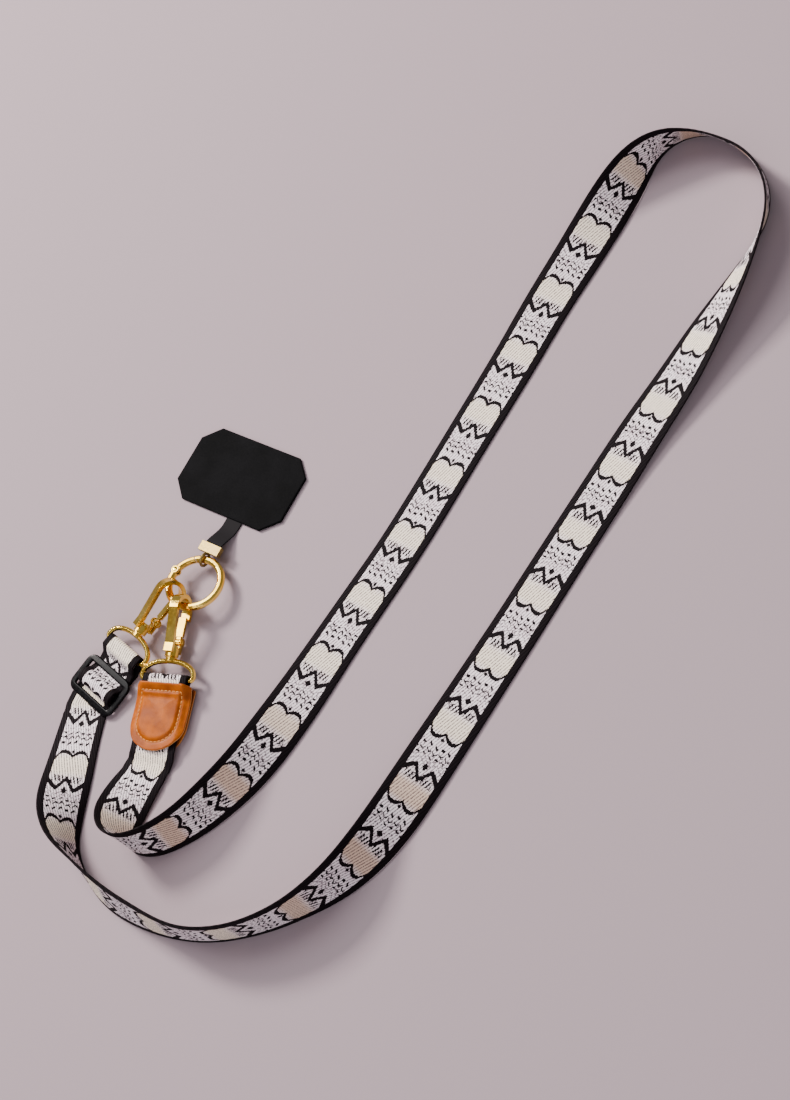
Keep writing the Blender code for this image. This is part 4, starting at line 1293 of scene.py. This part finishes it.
@dataclass
class Tether:
    """The short tape and the flat pad."""

    seat: float = math.radians(104.0)
    tape_width: float = 9.0 * MM
    tape_thick: float = 0.8 * MM
    run: float = 19.0 * MM
    lap: float = 9.0 * MM
    clamp_wire: float = 0.7 * MM
    clamp_wall: float = 0.7 * MM
    clamp_length: float = 4.6 * MM
    pad_length: float = 62.0 * MM
    pad_width: float = 39.0 * MM
    pad_corner: float = 8.0 * MM
    pad_shift: float = -8.5 * MM
    # The pad's pressed border: inset and height in mm, from its underside to its face
    border: tuple[tuple[float, float], ...] = (
        (0.35, 0.02), (0.1, 0.1), (0.0, 0.3), (0.0, 1.15), (0.06, 1.4), (0.22, 1.55), (0.5, 1.6), (2.0, 1.6))

    def start(self) -> float:
        """Where the tape begins inside the clamp, from the ring's wire."""
        return RING.wire + GAP * 1.5 + self.clamp_wire * 1.4 + self.clamp_wall + GAP

    def build_tape(self, finish: bpy.types.Material) -> None:
        """The tape, from the clamp down to the pad.

        Args:
            finish: The woven tape.
        """
        seat = RING.point(self.seat)
        high, low = seat.z - FLOOR, self.tape_thick / 2
        start = self.start()
        clamp_end = start - self.clamp_wall - GAP + self.clamp_length
        end = start + self.run
        route = [(start, high), (clamp_end, high), (start + self.run * 0.45, high * 0.5 + low),
                 (start + self.run * 0.8, low), (end, low), (end + self.lap, low)]
        points = np.array([(seat.x, seat.y + y, z + FLOOR) for y, z in route])
        knots = distances(points)
        line = natural_spline(points, knots, np.linspace(0, knots[-1], 48))
        line[:, 2] = np.maximum(line[:, 2], low + FLOOR)
        half, columns = self.tape_width / 2, (0.93, 0.5, 0, -0.5, -0.93)
        section = [(half * s, low) for s in columns] + [(-half, 0)]
        section += [(-half * s, -low) for s in columns] + [(half, 0)]
        bm = loft_strip(line, np.tile((1.0, 0.0, 0.0), (len(line), 1)), section)
        piece("tether_tape", bm, finish, BODY, ["tether_strap"])

    def build_pad(self, finish: bpy.types.Material) -> None:
        """The octagonal pad with a softly pressed border, and a pocket below it for the tape's end.

        Args:
            finish: The laminate.
        """
        seat = RING.point(self.seat)
        near = seat.y + self.start() + self.run
        centre = np.array((seat.x + self.pad_shift, near + self.pad_width / 2))
        half = np.array((self.pad_length, self.pad_width)) / 2
        (a, b), cut = half, self.pad_corner
        corners = np.array([(cut - a, -b), (a - cut, -b), (a, cut - b), (a, b - cut),
                            (a - cut, b), (cut - a, b), (-a, b - cut), (-a, cut - b)])
        bm = bmesh.new()
        rings = []
        for inset, height in self.border:
            spots = centre + corners * (1 - inset * MM / half)
            rings.append([bm.verts.new((x, y, FLOOR + height * MM)) for x, y in spots])
        skin(bm, rings)
        room = self.tape_width / 2 + GAP
        made = piece("tether_pad_skin", bm, finish, BODY, ["tether_pad"])
        self.cut_pocket(made, (seat.x - room, near - 1 * MM), (seat.x + room, near + self.lap + GAP))

    def cut_pocket(self, pad: bpy.types.Object, low: Sequence[float], high: Sequence[float]) -> None:
        """Cut the pocket below the pad that takes the tape's end.

        Args:
            pad: The pad.
            low: The pocket's near corner on the floor.
            high: Its far corner.
        """
        bm = bmesh.new()
        size = (high[0] - low[0], high[1] - low[1], 2 * (FLOOR + self.tape_thick + GAP))
        bmesh.ops.create_cube(bm, size=1.0)
        bmesh.ops.scale(bm, vec=size, verts=bm.verts)
        bmesh.ops.translate(bm, vec=((low[0] + high[0]) / 2, (low[1] + high[1]) / 2, 0), verts=bm.verts)
        mesh = bpy.data.meshes.new("pocket")
        bm.to_mesh(mesh)
        bm.free()
        cutter = put("pocket", mesh)
        step = pad.modifiers.new("pocket", "BOOLEAN")
        step.operation, step.solver, step.object = "DIFFERENCE", "EXACT", cutter
        cut = applied(pad)
        pad.modifiers.clear()
        pad.data = cut
        bpy.data.objects.remove(cutter, do_unlink=True)
        pad.data.set_sharp_from_angle(angle=math.radians(38))


@dataclass
class Studio:
    """Pale paper, a soft key from the left, a broad fill and a top light."""

    floor_size: float = 6.0
    camera_place: tuple[float, float, float] = (0.39067, -0.19709, 0.67333)
    camera_right: tuple[float, float, float] = (0.8133, 0.4780, -0.3317)
    camera_up: tuple[float, float, float] = (-0.3333, 0.8501, 0.4078)
    view_height: float = 1100.0
    focal_pixels: float = 1800.0
    surround: str = "F2EEF0"
    surround_power: float = 0.33
    # Each softbox: name, place in metres, side in metres, power in watts and tint
    softboxes: tuple[tuple, ...] = (
        ("key_softbox", (-1.5, 0.3, 1.2), 0.4, 72.0, "FFF7F3"),
        ("fill_softbox", (0.7, -1.3, 1.3), 1.1, 13.0, "FAF6FF"),
        ("top_softbox", (-1.05, 0.22, 1.9), 1.05, 32.0, "FFFCFC"))

    def build_floor(self, finish: bpy.types.Material) -> None:
        """Lay the paper.

        Args:
            finish: The paper.
        """
        half = self.floor_size / 2
        corners = [(-half, -half, 0), (half, -half, 0), (half, half, 0), (-half, half, 0)]
        mesh = bpy.data.meshes.new("studio_floor")
        mesh.from_pydata(corners, [], [(0, 1, 2, 3)])
        mesh.materials.append(finish)
        put("studio_floor", mesh)

    def build_lights(self) -> None:
        """Hang the softboxes, which all look at the strap, in an even surround."""
        for name, place, size, power, tint in self.softboxes:
            data = bpy.data.lights.new(name, "AREA")
            data.shape, data.size, data.energy, data.color = "SQUARE", size, power, linear(tint)[:3]
            lamp = put(name, data)
            lamp.location = place
            lamp.rotation_euler = (-Vector(place)).to_track_quat("-Z", "Y").to_euler()
        world = bpy.context.scene.world or bpy.data.worlds.new("studio")
        bpy.context.scene.world = world
        world.use_nodes = True
        ground = world.node_tree.nodes["Background"]
        ground.inputs[0].default_value = linear(self.surround)
        ground.inputs[1].default_value = self.surround_power

    def build_camera(self) -> None:
        """Stand the camera at the photograph's angle."""
        data = bpy.data.cameras.new("camera")
        data.sensor_fit = "VERTICAL"
        data.angle = 2 * math.atan(self.view_height / 2 / self.focal_pixels)
        data.clip_start, data.clip_end = 0.02, 20.0
        camera = put("camera", data)
        right = Vector(self.camera_right).normalized()
        up = Vector(self.camera_up)
        up = (up - right * up.dot(right)).normalized()
        turn = Matrix((right, up, right.cross(up))).transposed().to_4x4()
        camera.matrix_world = Matrix.Translation(self.camera_place) @ turn
        bpy.context.scene.camera = camera


def main() -> None:
    """Build the pieces in order and report each."""
    logging.basicConfig(level=logging.INFO, format="%(name)s: %(message)s")
    gold = PaleGold().make()
    webbing = Webbing()
    strap = webbing.build(WebbingWeave().make())
    LOG.info("webbing: %d faces", len(strap.data.polygons))
    LeatherTab(webbing).build(TanLeather().make(), CutLeather().make(), TanThread().make())
    LOG.info("leather tab: both layers and stitches")
    Adjuster(webbing).build(BlackAcetal().make())
    LOG.info("adjuster moulded")
    hardware = Hardware()
    hardware.dress(gold, ClampSteel().make())
    hardware.build(gold)
    LOG.info("hardware plated and riveted")
    tether = Tether()
    tether.build_tape(BlackTape().make())
    tether.build_pad(PadCloth().make())
    LOG.info("tether and pad laid")
    studio = Studio()
    studio.build_floor(StudioPaper().make())
    studio.build_lights()
    studio.build_camera()
    LOG.info("studio lit")


if __name__ == "__main__":
    main()
